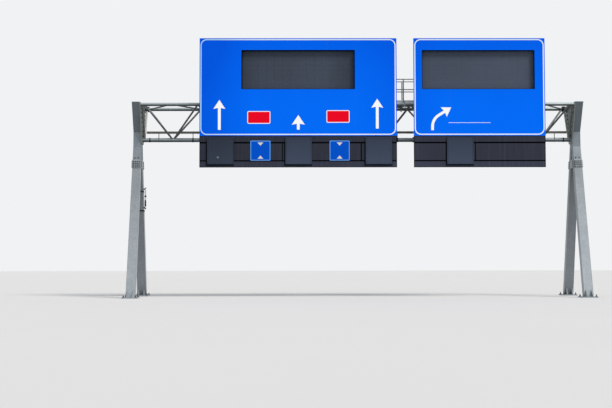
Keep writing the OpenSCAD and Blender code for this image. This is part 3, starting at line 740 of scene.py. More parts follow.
class Shape:
    """Closed solids gathered into the mesh of one piece."""

    def __init__(self) -> None:
        """Starts with nothing in it."""
        self.points: list[Point] = []
        self.faces: list[list[int]] = []
        self.smooth: list[bool] = []

    def skin(self, rings: Sequence[Sequence[Point]], closed: bool = False, smooth: bool = False) -> None:
        """Joins a row of rings with the same number of points into one closed solid.

        Args:
            rings: The rings of points, in order.
            closed: Whether the last ring joins the first, as in a hoop.
            smooth: Whether the sides are shaded smooth.
        """
        start = len(self.points)
        count = len(rings[0])
        for ring in rings:
            self.points.extend(ring)
        rows = len(rings) if closed else len(rings) - 1
        for row in range(rows):
            near = start + row * count
            far = start + (row + 1) % len(rings) * count
            for i in range(count):
                j = (i + 1) % count
                self.faces.append([near + i, near + j, far + j, far + i])
                self.smooth.append(smooth)
        if not closed:
            last = start + (len(rings) - 1) * count
            self.faces.append([start + i for i in reversed(range(count))])
            self.faces.append([last + i for i in range(count)])
            self.smooth += [False, False]

    def box(self, low: Point, high: Point) -> None:
        """Adds a box between two corners."""
        corners = ((low[0], low[1]), (high[0], low[1]), (high[0], high[1]), (low[0], high[1]))
        self.skin([[(x, y, z) for x, y in corners] for z in (low[2], high[2])])

    def plate(self, outline: Sequence[Flat], faces: Flat) -> None:
        """Adds an upright plate with its outline as x and z, between the y of its front and its back."""
        self.skin([[(x, y, z) for x, z in outline] for y in faces])

    def hoop(self, outer: Sequence[Flat], inner: Sequence[Flat], faces: Flat) -> None:
        """Adds an upright plate with one opening, whose two outlines have as many points.

        Args:
            outer: Its outline as x and z.
            inner: The opening's outline as x and z.
            faces: The y of its front and of its back.
        """
        front, back = faces
        loops = ((outer, front), (outer, back), (inner, back), (inner, front))
        self.skin([[(x, y, z) for x, z in loop] for loop, y in loops], closed=True)

    def tube(self, path: Sequence[Vector], radius: float, sides: int = 8, closed: bool = False) -> None:
        """Adds a round bar along a path.

        Args:
            path: The points that its middle follows.
            radius: Its radius.
            sides: How many sides its section has.
            closed: Whether its end joins its start.
        """
        rings = []
        count = len(path)
        normal = Vector()
        for i, point in enumerate(path):
            ahead = path[(i + 1) % count] if closed else path[min(i + 1, count - 1)]
            behind = path[i - 1] if closed else path[max(i - 1, 0)]
            heading = (ahead - behind).normalized()
            if not normal.length:
                normal = heading.orthogonal().normalized()
            normal = (normal - heading * normal.dot(heading)).normalized()
            across = heading.cross(normal)
            rings.append([point + (normal * c + across * s) * radius for c, s in circle(sides)])
        self.skin(rings, closed=closed, smooth=True)

    def lathe(self, profile: Sequence[Flat], foot: Point, axis: Point, sides: int = 16) -> None:
        """Turns a profile round an axis.

        Args:
            profile: Radius and height of each ring, from the foot up.
            foot: Where the axis starts.
            axis: The direction of the axis.
            sides: How many sides the round has.
        """
        turn = Vector(axis).to_track_quat("Z", "Y").to_matrix()
        rings = []
        for radius, height in profile:
            flat = [Vector((radius * c, radius * s, height)) for c, s in circle(sides)]
            rings.append([Vector(foot) + turn @ point for point in flat])
        self.skin(rings, smooth=sides > 6)

    def piece(self, name: str, finish: Finish, slot: Slot, edge: float = 0.0) -> Piece:
        """Makes the piece, gives it its finish and sets it on the frame.

        Args:
            name: The piece's name.
            finish: Its finish.
            slot: The record's material slot for it.
            edge: How far its sharp edges are rounded.

        Returns:
            The new piece.
        """
        mesh = bpy.data.meshes.new(name)
        mesh.from_pydata([tuple(point) for point in self.points], [], self.faces)
        mesh.polygons.foreach_set("use_smooth", self.smooth)
        work = bmesh.new()
        work.from_mesh(mesh)
        bmesh.ops.recalc_face_normals(work, faces=work.faces)
        if edge:
            sharp = [e for e in work.edges if e.calc_face_angle(0.0) > math.radians(40)]
            bmesh.ops.bevel(work, geom=sharp, offset=edge, segments=2, profile=0.5, affect="EDGES")
        work.to_mesh(mesh)
        work.free()
        mesh.materials.append(finish.material())
        made = bpy.data.objects.new(name, mesh)
        bpy.context.scene.collection.objects.link(made)
        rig.ride(made, BODY)
        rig.slot(made, slot.value)
        LOG.info("%s: %d faces, %s", name, len(mesh.polygons), finish.name)
        return made


@dataclass(frozen=True)
class Rect:
    """An upright rectangle across the traffic, between two corners as x and z."""

    x0: float
    z0: float
    x1: float
    z1: float

    @classmethod
    def of(cls, node: str) -> "Rect":
        """Gives the outline of a CAD node as the traffic sees it."""
        low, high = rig.box(node)
        return cls(low.x, low.z, high.x, high.z)

    def grow(self, left: float, below: float, right: float, above: float) -> "Rect":
        """Gives the rectangle with each side moved out."""
        return Rect(self.x0 - left, self.z0 - below, self.x1 + right, self.z1 + above)

    def inset(self, by: float) -> "Rect":
        """Gives the rectangle with all sides moved in."""
        return self.grow(-by, -by, -by, -by)

    def corners(self) -> list[Flat]:
        """Gives its corners as an outline."""
        return [(self.x0, self.z0), (self.x1, self.z0), (self.x1, self.z1), (self.x0, self.z1)]

    def rounded(self, radius: float, steps: int = 8) -> list[Flat]:
        """Gives its outline with round corners.

        Args:
            radius: The corners' radius.
            steps: How many parts each corner has.

        Returns:
            The outline as x and z.
        """
        left, right = self.x0 + radius, self.x1 - radius
        foot, head = self.z0 + radius, self.z1 - radius
        outline = []
        for quarter, (x, z) in enumerate(((right, head), (left, head), (left, foot), (right, foot))):
            for step in range(steps + 1):
                angle = (quarter + step / steps) * math.pi / 2
                outline.append((x + radius * math.cos(angle), z + radius * math.sin(angle)))
        return outline


# Fasteners and small fittings


@dataclass(frozen=True)
class Bolt:
    """A hexagon bolt head or nut on its washer, with the bolt's end standing out of a nut."""

    across: float
    height: float
    washer: float = 0.004
    stud: float = 0.0

    def put(self, shape: Shape, foot: Point, axis: Point) -> None:
        """Adds the bolt to a shape.

        Args:
            shape: The shape to add to.
            foot: Where the washer meets the plate.
            axis: The direction in which the bolt stands out.
        """
        axis = Vector(axis).normalized()
        seat = self.washer
        top = seat + self.height
        # A washer is 1.24 times as wide as its nut, and a nut's top corners are chamfered
        wide = self.across * 0.62
        corner = self.across / math.sqrt(3)
        thread = self.across * 0.3
        chamfer = seat + self.height * 0.85
        shape.lathe([(wide, -0.001), (wide, seat), (wide * 0.8, seat + 0.0005)], foot, axis)
        shape.lathe([(corner, seat), (corner, chamfer), (corner * 0.84, top)], foot, axis, sides=6)
        if self.stud:
            end = top + self.stud
            shape.lathe([(thread, 0.0), (thread, end - 0.003), (thread * 0.8, end)], foot, axis, sides=12)


@dataclass(frozen=True)
class Turned:
    """A small round fitting, by the radius and height of each of its rings from its foot up."""

    profile: Flats
    sides: int = 8

    def put(self, shape: Shape, foot: Point, axis: Point) -> None:
        """Adds the fitting to a shape, so that it stands out along the axis."""
        shape.lathe(self.profile, foot, axis, self.sides)


# Across flats and head height of common bolts
M12 = Bolt(0.019, 0.0075)
M16 = Bolt(0.024, 0.010)
M24 = Bolt(0.036, 0.015)
M30 = Bolt(0.046, 0.019)
M36_NUT = Bolt(0.055, 0.029, washer=0.008, stud=0.045)

BOARD_SCREW = Turned(((0.008, -0.001), (0.008, 0.001), (0.005, 0.004), (0.001, 0.005)))
PLATE_SCREW = Turned(((0.008, -0.001), (0.008, 0.0015), (0.005, 0.004), (0.001, 0.005)))
SIGNAL_SCREW = Turned(((0.009, -0.001), (0.009, 0.002), (0.006, 0.005), (0.001, 0.006)))
RIVET = Turned(((0.006, -0.0005), (0.0055, 0.0015), (0.003, 0.003)))
LATCH = Turned(((0.018, -0.001), (0.018, 0.004), (0.012, 0.006), (0.010, 0.014), (0.002, 0.016)), 16)
HINGE = Turned(((0.009, 0.0), (0.009, 0.12)), 12)
LENS = Turned(
    ((0.048, -0.004), (0.048, 0.008), (0.038, 0.012), (0.034, 0.009), (0.024, 0.014), (0.004, 0.018)), 24
)
RAIL_CAP = Turned(
    ((0.02226, -0.020), (0.02226, 0.0), (0.0189, 0.005), (0.0105, 0.009), (0.00105, 0.010)), 16
)
SOCKET = Turned(((0.026, 0.0), (0.030, 0.003), (0.030, 0.057), (0.026, 0.060)), 24)
COUPLER = Turned(((0.025, 0.0), (0.0325, 0.006), (0.0325, 0.244), (0.025, 0.250)), 24)
GLAND = Turned(
    ((0.025, 0.0), (0.0375, 0.010), (0.0425, 0.025), (0.0425, 0.045), (0.0375, 0.060), (0.025, 0.070)), 24
)
CONDUIT_CAP = Turned(((0.02875, -0.02), (0.02875, 0.004), (0.0225, 0.012), (0.0025, 0.016)), 20)


# Places that several sub-assemblies share


@dataclass(frozen=True)
class Chord:
    """A round chord of the truss, by the y and z of its middle line and its radius."""

    y: float
    z: float
    radius: float

    def point(self, x: float) -> Vector:
        """Gives the point on its middle line at a place along the truss."""
        return Vector((x, self.y, self.z))

    def ring(self, x: float, radius: float, sides: int) -> list[Vector]:
        """Gives a circle of points round its middle line."""
        return [Vector((x, self.y + radius * c, self.z + radius * s)) for c, s in circle(sides)]

    def band(self, shape: Shape, ends: Flat, thickness: float, sides: int = 32) -> None:
        """Wraps a band round the chord.

        Args:
            shape: The shape to add to.
            ends: Where it starts and stops along the truss.
            thickness: Its thickness.
            sides: How many sides its round has.
        """
        start, stop = ends
        loops = ((start, 0.0), (start, thickness), (stop, thickness), (stop, 0.0))
        shape.skin([self.ring(x, self.radius + out, sides) for x, out in loops], closed=True)


TOP_CHORDS = {face: Chord(face.value * 0.765, 7.740, 0.070) for face in Face}
BOTTOM_CHORD = Chord(0.0, 6.380, 0.084)
# The signs of x and y of the four legs
LEGS = tuple(product((-1, 1), (-1, 1)))
BAY = 2.140
BAYS = 8
# The heights of the rails behind the signs, and of the one behind the boards
SIGN_RAILS = (6.470, 7.300, 8.130, 10.060)
BOARD_RAIL = 5.220
# How far a display's cabinet reaches round its window
CABINET_WALL = 0.040
# How thick film is, with its glue
FILM_T = 0.0015


def station(bays: float) -> float:
    """Gives a place along the truss, counted in bays from its left end."""
    return (bays - BAYS / 2) * BAY


def window(side: Side) -> Rect:
    """Gives the opening of the window in a sign."""
    return Rect.of(f"{side.value}_display").inset(CABINET_WALL)


# The gantry's sub-assemblies


class Assembly:
    """A sub-assembly, which dresses its CAD nodes and builds its own pieces."""

    # The finish of its CAD nodes, by patterns of their names
    worn: Mapping[str, Finish]

    def read(self, name: str, finish: Finish) -> None:
        """Reads the place of its one CAD node from the frame.

        Args:
            name: The node's name.
            finish: The node's finish.
        """
        self.name = name
        self.worn = {name: finish}
        self.area = Rect.of(name)
        self.front, self.rear = (corner.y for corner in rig.box(name))

    def build(self) -> None:
        """Builds its own pieces."""
        raise NotImplementedError

    def dress(self, nodes: Mapping[str, Piece]) -> None:
        """Gives its CAD nodes their finishes.

        Args:
            nodes: The frame's nodes by name.
        """
        for pattern, finish in self.worn.items():
            for name in fnmatch.filter(nodes, pattern):
                for slot in nodes[name].material_slots:
                    slot.material = finish.material()
                LOG.info("%s: %s", name, finish.name)


@dataclass
class Columns(Assembly):
    """The forked legs at both ends, with their welds, splices, end plates and anchors."""

    worn = {
        "*_leg": LEG_STEEL, "*_base": LEG_STEEL, "*_arm": ARM_STEEL,
        "*_splice": SPLICE_STEEL, "*_end_plate": PLATE_STEEL,
    }
    inner_x: float = 8.760
    width_foot: float = 0.365
    width_top: float = 0.300
    top_z: float = 7.820
    # Height and distance from the middle plane along a leg's outer and inner sides
    outer: Flats = ((0.0, 1.86), (6.1, 0.245), (6.68, 0.245), (7.82, 0.88))
    inner: Flats = ((0.0, 1.6), (5.75, 0.025), (6.78, 0.025), (7.82, 0.65))
    mitre_bead: float = 0.005
    corner_bead: float = 0.0035
    splice_z: float = 5.380
    splice_t: float = 0.020
    bolt_pitch: float = 0.074
    bolt_drop: float = 0.016
    # How far the bolts in a leg's inner and outer faces lie behind its sloping side
    side_bolts: Flat = (0.045, 0.115)
    plug_z: float = 5.625
    base_z: float = 0.040
    # How far the anchor holes lie from a base plate's middle, along the truss and across it
    anchor: Flat = (0.240, 0.340)
    washer_half: float = 0.045
    washer_t: float = 0.010
    sunk: float = 0.001
    plate_x: float = 8.720
    plate_bolts: Floats = (6.54, 6.72, 6.90, 7.08, 7.26, 7.44, 7.60)
    plate_bolt_out: float = 0.065

    @staticmethod
    def along(line: Sequence[Flat], z: float) -> float:
        """Gives the distance from the middle plane at a height.

        Args:
            line: Heights and distances, from the ground up.
            z: The height.

        Returns:
            The distance, straight between the line's points.
        """
        for (z0, y0), (z1, y1) in zip(line, line[1:]):
            if z <= z1:
                return y0 + (y1 - y0) * (z - z0) / (z1 - z0)
        return line[-1][1]

    @classmethod
    def middle(cls, z: float) -> float:
        """Gives the distance from the middle plane to a leg's middle."""
        return (cls.along(cls.outer, z) + cls.along(cls.inner, z)) / 2

    def width(self, z: float) -> float:
        """Gives a leg's width along the truss."""
        return self.width_foot + (self.width_top - self.width_foot) * z / self.top_z

    def stops(self, line: Sequence[Flat]) -> Flats:
        """Gives a side's height and distance at the base plate and at each bend."""
        return (self.base_z, self.along(line, self.base_z)), *line[1:]

    def corner(self, side: int, face: int, out: int, stop: Flat) -> Vector:
        """Gives a point on a leg's corner, on its inner face if out is 0 and its outer if 1."""
        z, y = stop
        return Vector((side * (self.inner_x + out * self.width(z)), face * y, z))

    def build(self) -> None:
        """Builds the welds, bolts and anchors of both ends."""
        self.welds()
        self.bolts()
        self.anchors()

    def welds(self) -> None:
        """Lays beads round each leg at its base plate and lower bends, and down its corners."""
        shape = Shape()
        for side, face in LEGS:
            for outer, inner in zip(self.stops(self.outer)[:3], self.stops(self.inner)[:3]):
                ends = ((0, outer), (1, outer), (1, inner), (0, inner))
                path = [self.corner(side, face, out, stop) for out, stop in ends]
                for start, end in zip(path, path[1:] + path[:1]):
                    shape.tube([start, end], self.mitre_bead, sides=6)
            for line, out in product((self.outer, self.inner), (0, 1)):
                path = [self.corner(side, face, out, stop) for stop in self.stops(line)]
                shape.tube(path, self.corner_bead, sides=6)
        shape.piece("column_welds", WELD_STEEL, Slot.LEG)

    def bolts(self) -> None:
        """Sets the bolts of the splices, and pairs of bolts through the end plates into the arms."""
        shape = Shape()
        for side, face in LEGS:
            self.splice_bolts(shape, side, face)
            for z, step in product(self.plate_bolts, (-self.plate_bolt_out, self.plate_bolt_out)):
                foot = (side * self.plate_x, face * (self.middle(z) + step), z)
                M24.put(shape, foot, (-side, 0, 0))
        shape.piece("column_bolts", BOLT_STEEL, Slot.PLATE)

    def splice_bolts(self, shape: Shape, side: int, face: int) -> None:
        """Sets four rows of bolts in the cover plates of a leg's splice, and two plugs above them.

        Args:
            shape: The shape to add to.
            side: The sign of the leg's x.
            face: The sign of its y.
        """
        steps = [(i - 1.5) * self.bolt_pitch for i in range(4)]
        (low_z, low_y), (high_z, high_y) = self.outer[:2]
        facing = (0.0, face, (low_y - high_y) / (high_z - low_z))
        middle_x = self.inner_x + self.width(self.splice_z) / 2
        for step in (-self.bolt_pitch, self.bolt_pitch):
            plug_y = face * self.along(self.outer, self.plug_z)
            M30.put(shape, (side * (middle_x + step), plug_y, self.plug_z), facing)
        for rise in steps:
            z = self.splice_z - self.bolt_drop + rise
            reach = self.along(self.outer, z)
            # A leaning plate is a twentieth thicker when it is measured level
            y = face * (reach + self.splice_t * 1.05)
            for step in steps:
                M30.put(shape, (side * (middle_x + step), y, z), facing)
            for back in self.side_bolts:
                y = face * (reach - back)
                outer_x = self.inner_x + self.width(z) + self.splice_t
                for x, way in ((self.inner_x - self.splice_t, -side), (outer_x, side)):
                    M30.put(shape, (side * x, y, z), (way, 0, 0))

    def anchors(self) -> None:
        """Sets a washer plate and a nut with its stud on each anchor hole."""
        shape = Shape()
        half = self.washer_half
        top = self.base_z + self.washer_t
        for (side, face), step_x, step_y in product(LEGS, *((-out, out) for out in self.anchor)):
            x = side * (self.inner_x + self.width_foot / 2) + step_x
            y = face * (self.outer[0][1] + self.inner[0][1]) / 2 + step_y
            shape.box((x - half, y - half, self.base_z - self.sunk), (x + half, y + half, top))
            M36_NUT.put(shape, (x, y, top), UP)
        shape.piece("anchor_nuts", BOLT_STEEL, Slot.PLATE)


@dataclass
class Truss(Assembly):
    """The triangular tube truss, with the weld beads where its bars meet the chords."""

    worn = {
        "*_chord": TUBE_STEEL, "*_diagonals": BAR_STEEL, "top_bracing": BAR_STEEL,
        "end_struts": STRUT_STEEL,
    }
    beads: Shape = field(default_factory=Shape)
    diagonal_radius: float = 0.038
    brace_radius: float = 0.030
    strut_x: float = 8.650
    coped: float = 0.008
    bead_radius: float = 0.007
    bead_points: int = 28
    collar_ends: Flat = (8.560, 8.700)
    collar_t: float = 0.044

    def build(self) -> None:
        """Builds the weld beads of the whole truss, and what stands at its ends."""
        front, rear = TOP_CHORDS[Face.FRONT], TOP_CHORDS[Face.REAR]
        spans = [(station(i + end), station(i + 0.5)) for i in range(BAYS) for end in (0, 1)]
        ends = [(way * self.strut_x,) * 2 for way in (-1, 1)]
        for chord in (front, rear):
            for places in (*spans, *ends):
                self.bar_beads((chord, BOTTOM_CHORD), places, self.diagonal_radius)
        for places in spans:
            self.bar_beads((rear, front), places, self.brace_radius)
        for way, chord in product((-1, 1), (front, rear, BOTTOM_CHORD)):
            ring = chord.ring(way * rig.box("bottom_chord")[1].x, chord.radius, self.bead_points)
            self.beads.tube(ring, self.bead_radius, sides=6, closed=True)
        struts = Shape()
        reach = rear.y - rear.radius + self.coped
        for x, _ in ends:
            struts.tube([Vector((x, y, rear.z)) for y in (-reach, reach)], self.brace_radius, sides=32)
            self.bar_beads((rear, front), (x, x), self.brace_radius)
        struts.piece("end_cross_struts", BAR_STEEL, Slot.TUBE)
        # The collars are black partly with grime and partly as painted shade at the chords' ends
        collars = Shape()
        near, far = self.collar_ends
        for way in (-1, 1):
            rear.band(collars, (way * near, way * far), self.collar_t)
        collars.piece("rear_chord_collars", GRIME_AND_SHADE_STEEL, Slot.TUBE, edge=0.003)
        self.beads.piece("truss_welds", WELD_STEEL, Slot.TUBE)

    def bar_beads(self, chords: tuple[Chord, Chord], places: Flat, bar: float) -> None:
        """Lays a weld bead at both ends of a bar that runs from one chord to another.

        Args:
            chords: The two chords.
            places: Where the bar meets each of them along the truss.
            bar: The bar's radius.
        """
        first, second = (chord.point(x) for chord, x in zip(chords, places))
        self.bead(first, second, bar, chords[0].radius)
        self.bead(second, first, bar, chords[1].radius)

    def bead(self, start: Vector, end: Vector, bar: float, chord: float) -> None:
        """Lays a weld bead along the line where a round bar leaves a round chord.

        Args:
            start: The point on the chord's middle that the bar is aimed from.
            end: The point that the bar is aimed at.
            bar: The bar's radius.
            chord: The chord's radius.
        """
        heading = (end - start).normalized()
        level = heading.orthogonal().normalized()
        across = heading.cross(level)
        flat_heading = Vector((0.0, heading.y, heading.z))
        path = []
        for c, s in circle(self.bead_points):
            edge = (level * c + across * s) * bar
            flat_edge = Vector((0.0, edge.y, edge.z))
            # The distance along the bar at which its edge comes out of the chord's round
            square = flat_heading.dot(flat_heading)
            slope = 2 * flat_heading.dot(flat_edge)
            rest = flat_edge.dot(flat_edge) - chord**2
            out = (math.sqrt(max(slope * slope - 4 * square * rest, 0.0)) - slope) / (2 * square)
            path.append(start + edge + heading * out)
        self.beads.tube(path, self.bead_radius, sides=6, closed=True)


@dataclass
class Walkway(Assembly):
    """The grating deck between the railings, on bearers that clamp to the top chords."""

    worn = {
        "walkway_deck": RAIL_STEEL, "*_railing": RAIL_STEEL, "walkway_bearers": BAR_STEEL,
        "toe_boards": TOE_STEEL,
    }
    plates: Shape = field(default_factory=Shape)
    bolts: Shape = field(default_factory=Shape)
    first_bearer: float = -6.120
    pitch: float = 1.600
    bearers: int = 9
    bearer_size: float = 0.060
    bar_pitch: float = 0.030
    bar_t: float = 0.004
    rod_pitch: float = 0.100
    rod: float = 0.006
    rod_drop: float = 0.001
    gap: float = 0.010
    angle_w: float = 0.060
    angle_t: float = 0.006
    clamp_half: float = 0.025
    clamp_t: float = 0.005
    lug_h: float = 0.045
    lug_half: float = 0.006
    lug_bolt: float = 0.026
    rail_y: float = 0.330
    rail_radius: float = 0.021
    post_radius: float = 0.024
    rail_heights: Floats = (8.400, 8.820)
    foot_half: float = 0.050
    foot_reach: float = 0.075
    foot_t: float = 0.008
    # How far a foot's bolts stand beside the post and out from it
    foot_bolt: Flat = (0.033, 0.052)
    toe_bolt: float = 0.045
    weld: float = 0.003
    weld_points: int = 20

    def bearer_xs(self) -> list[float]:
        """Gives the places of the bearers along the truss."""
        return [self.first_bearer + i * self.pitch for i in range(self.bearers)]

    def build(self) -> None:
        """Builds the grating, the clamps, and the fixings of railings and toe boards."""
        self.grating()
        self.stringers()
        for x, face in product(self.bearer_xs(), Face):
            self.clamp(x, face)
            self.post_foot(x, face.value)
        self.plates.piece("walkway_clamps", RAIL_STEEL, Slot.WALKWAY, edge=0.001)
        self.bolts.piece("walkway_bolts", BOLT_STEEL, Slot.WALKWAY)
        self.railing_welds()
        self.rail_caps()

    def grating(self) -> None:
        """Builds the grating panels, each with bearing bars, cross rods and a frame."""
        low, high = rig.box("walkway_deck")
        shape = Shape()
        xs = self.bearer_xs()
        bars = round((high.y - low.y) / self.bar_pitch)
        for i, (x0, x1) in enumerate(zip(xs, xs[1:])):
            start = low.x if i == 0 else x0 + self.gap / 2
            stop = high.x if i == len(xs) - 2 else x1 - self.gap / 2
            for k in range(bars + 1):
                y = low.y + (high.y - low.y - self.bar_t) * k / bars
                shape.box((start, y, low.z), (stop, y + self.bar_t, high.z))
            for x in (start, stop - self.bar_t):
                shape.box((x, low.y, low.z), (x + self.bar_t, high.y, high.z))
            rods = round((stop - start) / self.rod_pitch)
            for k in range(1, rods):
                x = start + (stop - start) * k / rods
                shape.box((x, low.y, high.z - 2 * self.rod), (x + self.rod, high.y, high.z - self.rod_drop))
        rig.replaces(shape.piece("walkway_grating", RAIL_STEEL, Slot.WALKWAY), "walkway_deck")

    def stringers(self) -> None:
        """Builds an angle under each edge of the deck, from bearer to bearer."""
        low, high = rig.box("walkway_deck")
        top, foot = low.z, low.z - self.bearer_size
        under = top - self.angle_t
        half = self.bearer_size / 2
        shape = Shape()
        xs = self.bearer_xs()
        for (x0, x1), (edge, way) in product(zip(xs, xs[1:]), ((low.y, 1), (high.y, -1))):
            leg, tip = edge + way * self.angle_t, edge + way * self.angle_w
            profile = ((edge, foot), (edge, top), (tip, top), (tip, under), (leg, under), (leg, foot))
            shape.skin([[(x, y, z) for y, z in profile] for x in (x0 + half, x1 - half)])
        shape.piece("walkway_stringers", BAR_STEEL, Slot.WALKWAY)

    def clamp(self, x: float, face: Face) -> None:
        """Puts a pipe clamp with its bolt round a top chord under a bearer's end.

        Args:
            x: The bearer's place along the truss.
            face: The chord's side of the truss.
        """
        chord = TOP_CHORDS[face]
        half = self.clamp_half
        chord.band(self.plates, (x - half, x + half), self.clamp_t)
        under = chord.z - chord.radius
        near, far = chord.y - self.lug_half, chord.y + self.lug_half
        self.plates.box((x - half, near, under - self.lug_h), (x + half, far, under))
        foot = (x, chord.y + face.value * self.lug_half, under - self.lug_bolt)
        M12.put(self.bolts, foot, (0, face.value, 0))

    def post_foot(self, x: float, face: int) -> None:
        """Puts a foot plate with two bolts under a railing post, and a bolt in the toe board.

        Args:
            x: The post's place along the truss.
            face: The sign of the post's y.
        """
        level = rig.box("front_railing")[0].z
        top = level + self.foot_t
        near, far = sorted(face * (self.rail_y + out) for out in (0.001 - self.post_radius, self.foot_reach))
        self.plates.box((x - self.foot_half, near, level), (x + self.foot_half, far, top))
        beside, out = self.foot_bolt
        for step in (-beside, beside):
            M12.put(self.bolts, (x + step, face * (self.rail_y + out), top), UP)
        low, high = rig.box("toe_boards")
        foot = (x + self.toe_bolt, low.y if face < 0 else high.y, (low.z + high.z) / 2)
        M12.put(self.bolts, foot, (0, face, 0))

    def railing_welds(self) -> None:
        """Lays a bead where each rail runs into a post."""
        shape = Shape()
        for x, face, z, heading in product(self.bearer_xs(), Face, self.rail_heights, (-1, 1)):
            path = []
            for c, s in circle(self.weld_points):
                y = self.rail_radius * c
                out = math.sqrt(self.post_radius**2 - y * y)
                place = (x + heading * out, face.value * self.rail_y + y, z + self.rail_radius * s)
                path.append(Vector(place))
            shape.tube(path, self.weld, sides=5, closed=True)
        shape.piece("railing_welds", WELD_STEEL, Slot.WALKWAY)

    def rail_caps(self) -> None:
        """Closes the ends of the rails with domed caps."""
        shape = Shape()
        low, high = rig.box("front_railing")
        for face, z, (x, out) in product(Face, self.rail_heights, ((low.x, -1), (high.x, 1))):
            RAIL_CAP.put(shape, (x, face.value * self.rail_y, z), (out, 0, 0))
        shape.piece("rail_caps", STRAP_PLASTIC, Slot.WALKWAY)


@dataclass(frozen=True)
class Arrow:
    """A straight arrow that points up, with a barbed head."""

    x: float
    tip: float
    foot: float
    head_w: float = 0.475
    head_l: float = 0.360
    notch: float = 0.040
    shaft: float = 0.113

    def outline(self) -> list[Flat]:
        """Gives the arrow's outline.

        Returns:
            The outline as x and z.
        """
        wide = self.head_w / 2
        thin = self.shaft / 2
        barb = self.tip - self.head_l
        neck = barb + self.notch
        half = ((wide, barb), (thin, neck), (thin, self.foot))
        right = [(self.x + out, z) for out, z in half]
        left = [(self.x - out, z) for out, z in reversed(half)]
        return [(self.x, self.tip), *right, *left]


@dataclass(frozen=True)
class CurvedArrow:
    """An arrow whose shaft rises from its foot, bends to the right and runs straight into its head."""

    foot: Flat = (2.922, 6.609)
    tip: Flat = (3.665, 7.513)
    heading: float = 32.0
    rise: float = 0.150
    shaft: float = 0.108
    head_w: float = 0.45
    head_l: float = 0.35
    notch: float = 0.036
    steps: int = 18

    def outline(self) -> list[Flat]:
        """Gives the arrow's outline.

        Returns:
            The outline as x and z.
        """
        aim = math.radians(self.heading)
        along = Vector((math.cos(aim), math.sin(aim)))
        across = Vector((-along.y, along.x))
        tip = Vector(self.tip)
        barbs = tip - along * self.head_l
        neck = barbs + along * self.notch
        foot_x, foot_z = self.foot
        run = neck - Vector(self.foot)
        turn = math.pi / 2 - aim
        # The bend's radius, so that its end heads for the neck
        radius = ((run.y - self.rise) * math.sin(turn) - run.x * math.cos(turn)) / (1 - math.cos(turn))
        sides = []
        for way in (1, -1):
            off = way * self.shaft / 2
            line = [(foot_x - off, foot_z)]
            for step in range(self.steps + 1):
                angle = turn * step / self.steps
                x = foot_x + radius - (radius + off) * math.cos(angle)
                line.append((x, foot_z + self.rise + (radius + off) * math.sin(angle)))
            sides.append([*line, tuple(neck + across * off)])
        outer, inner = sides
        wide = across * self.head_w / 2
        head = [tuple(point) for point in (barbs + wide, tip, barbs - wide)]
        return [*outer, *head, *reversed(inner)]


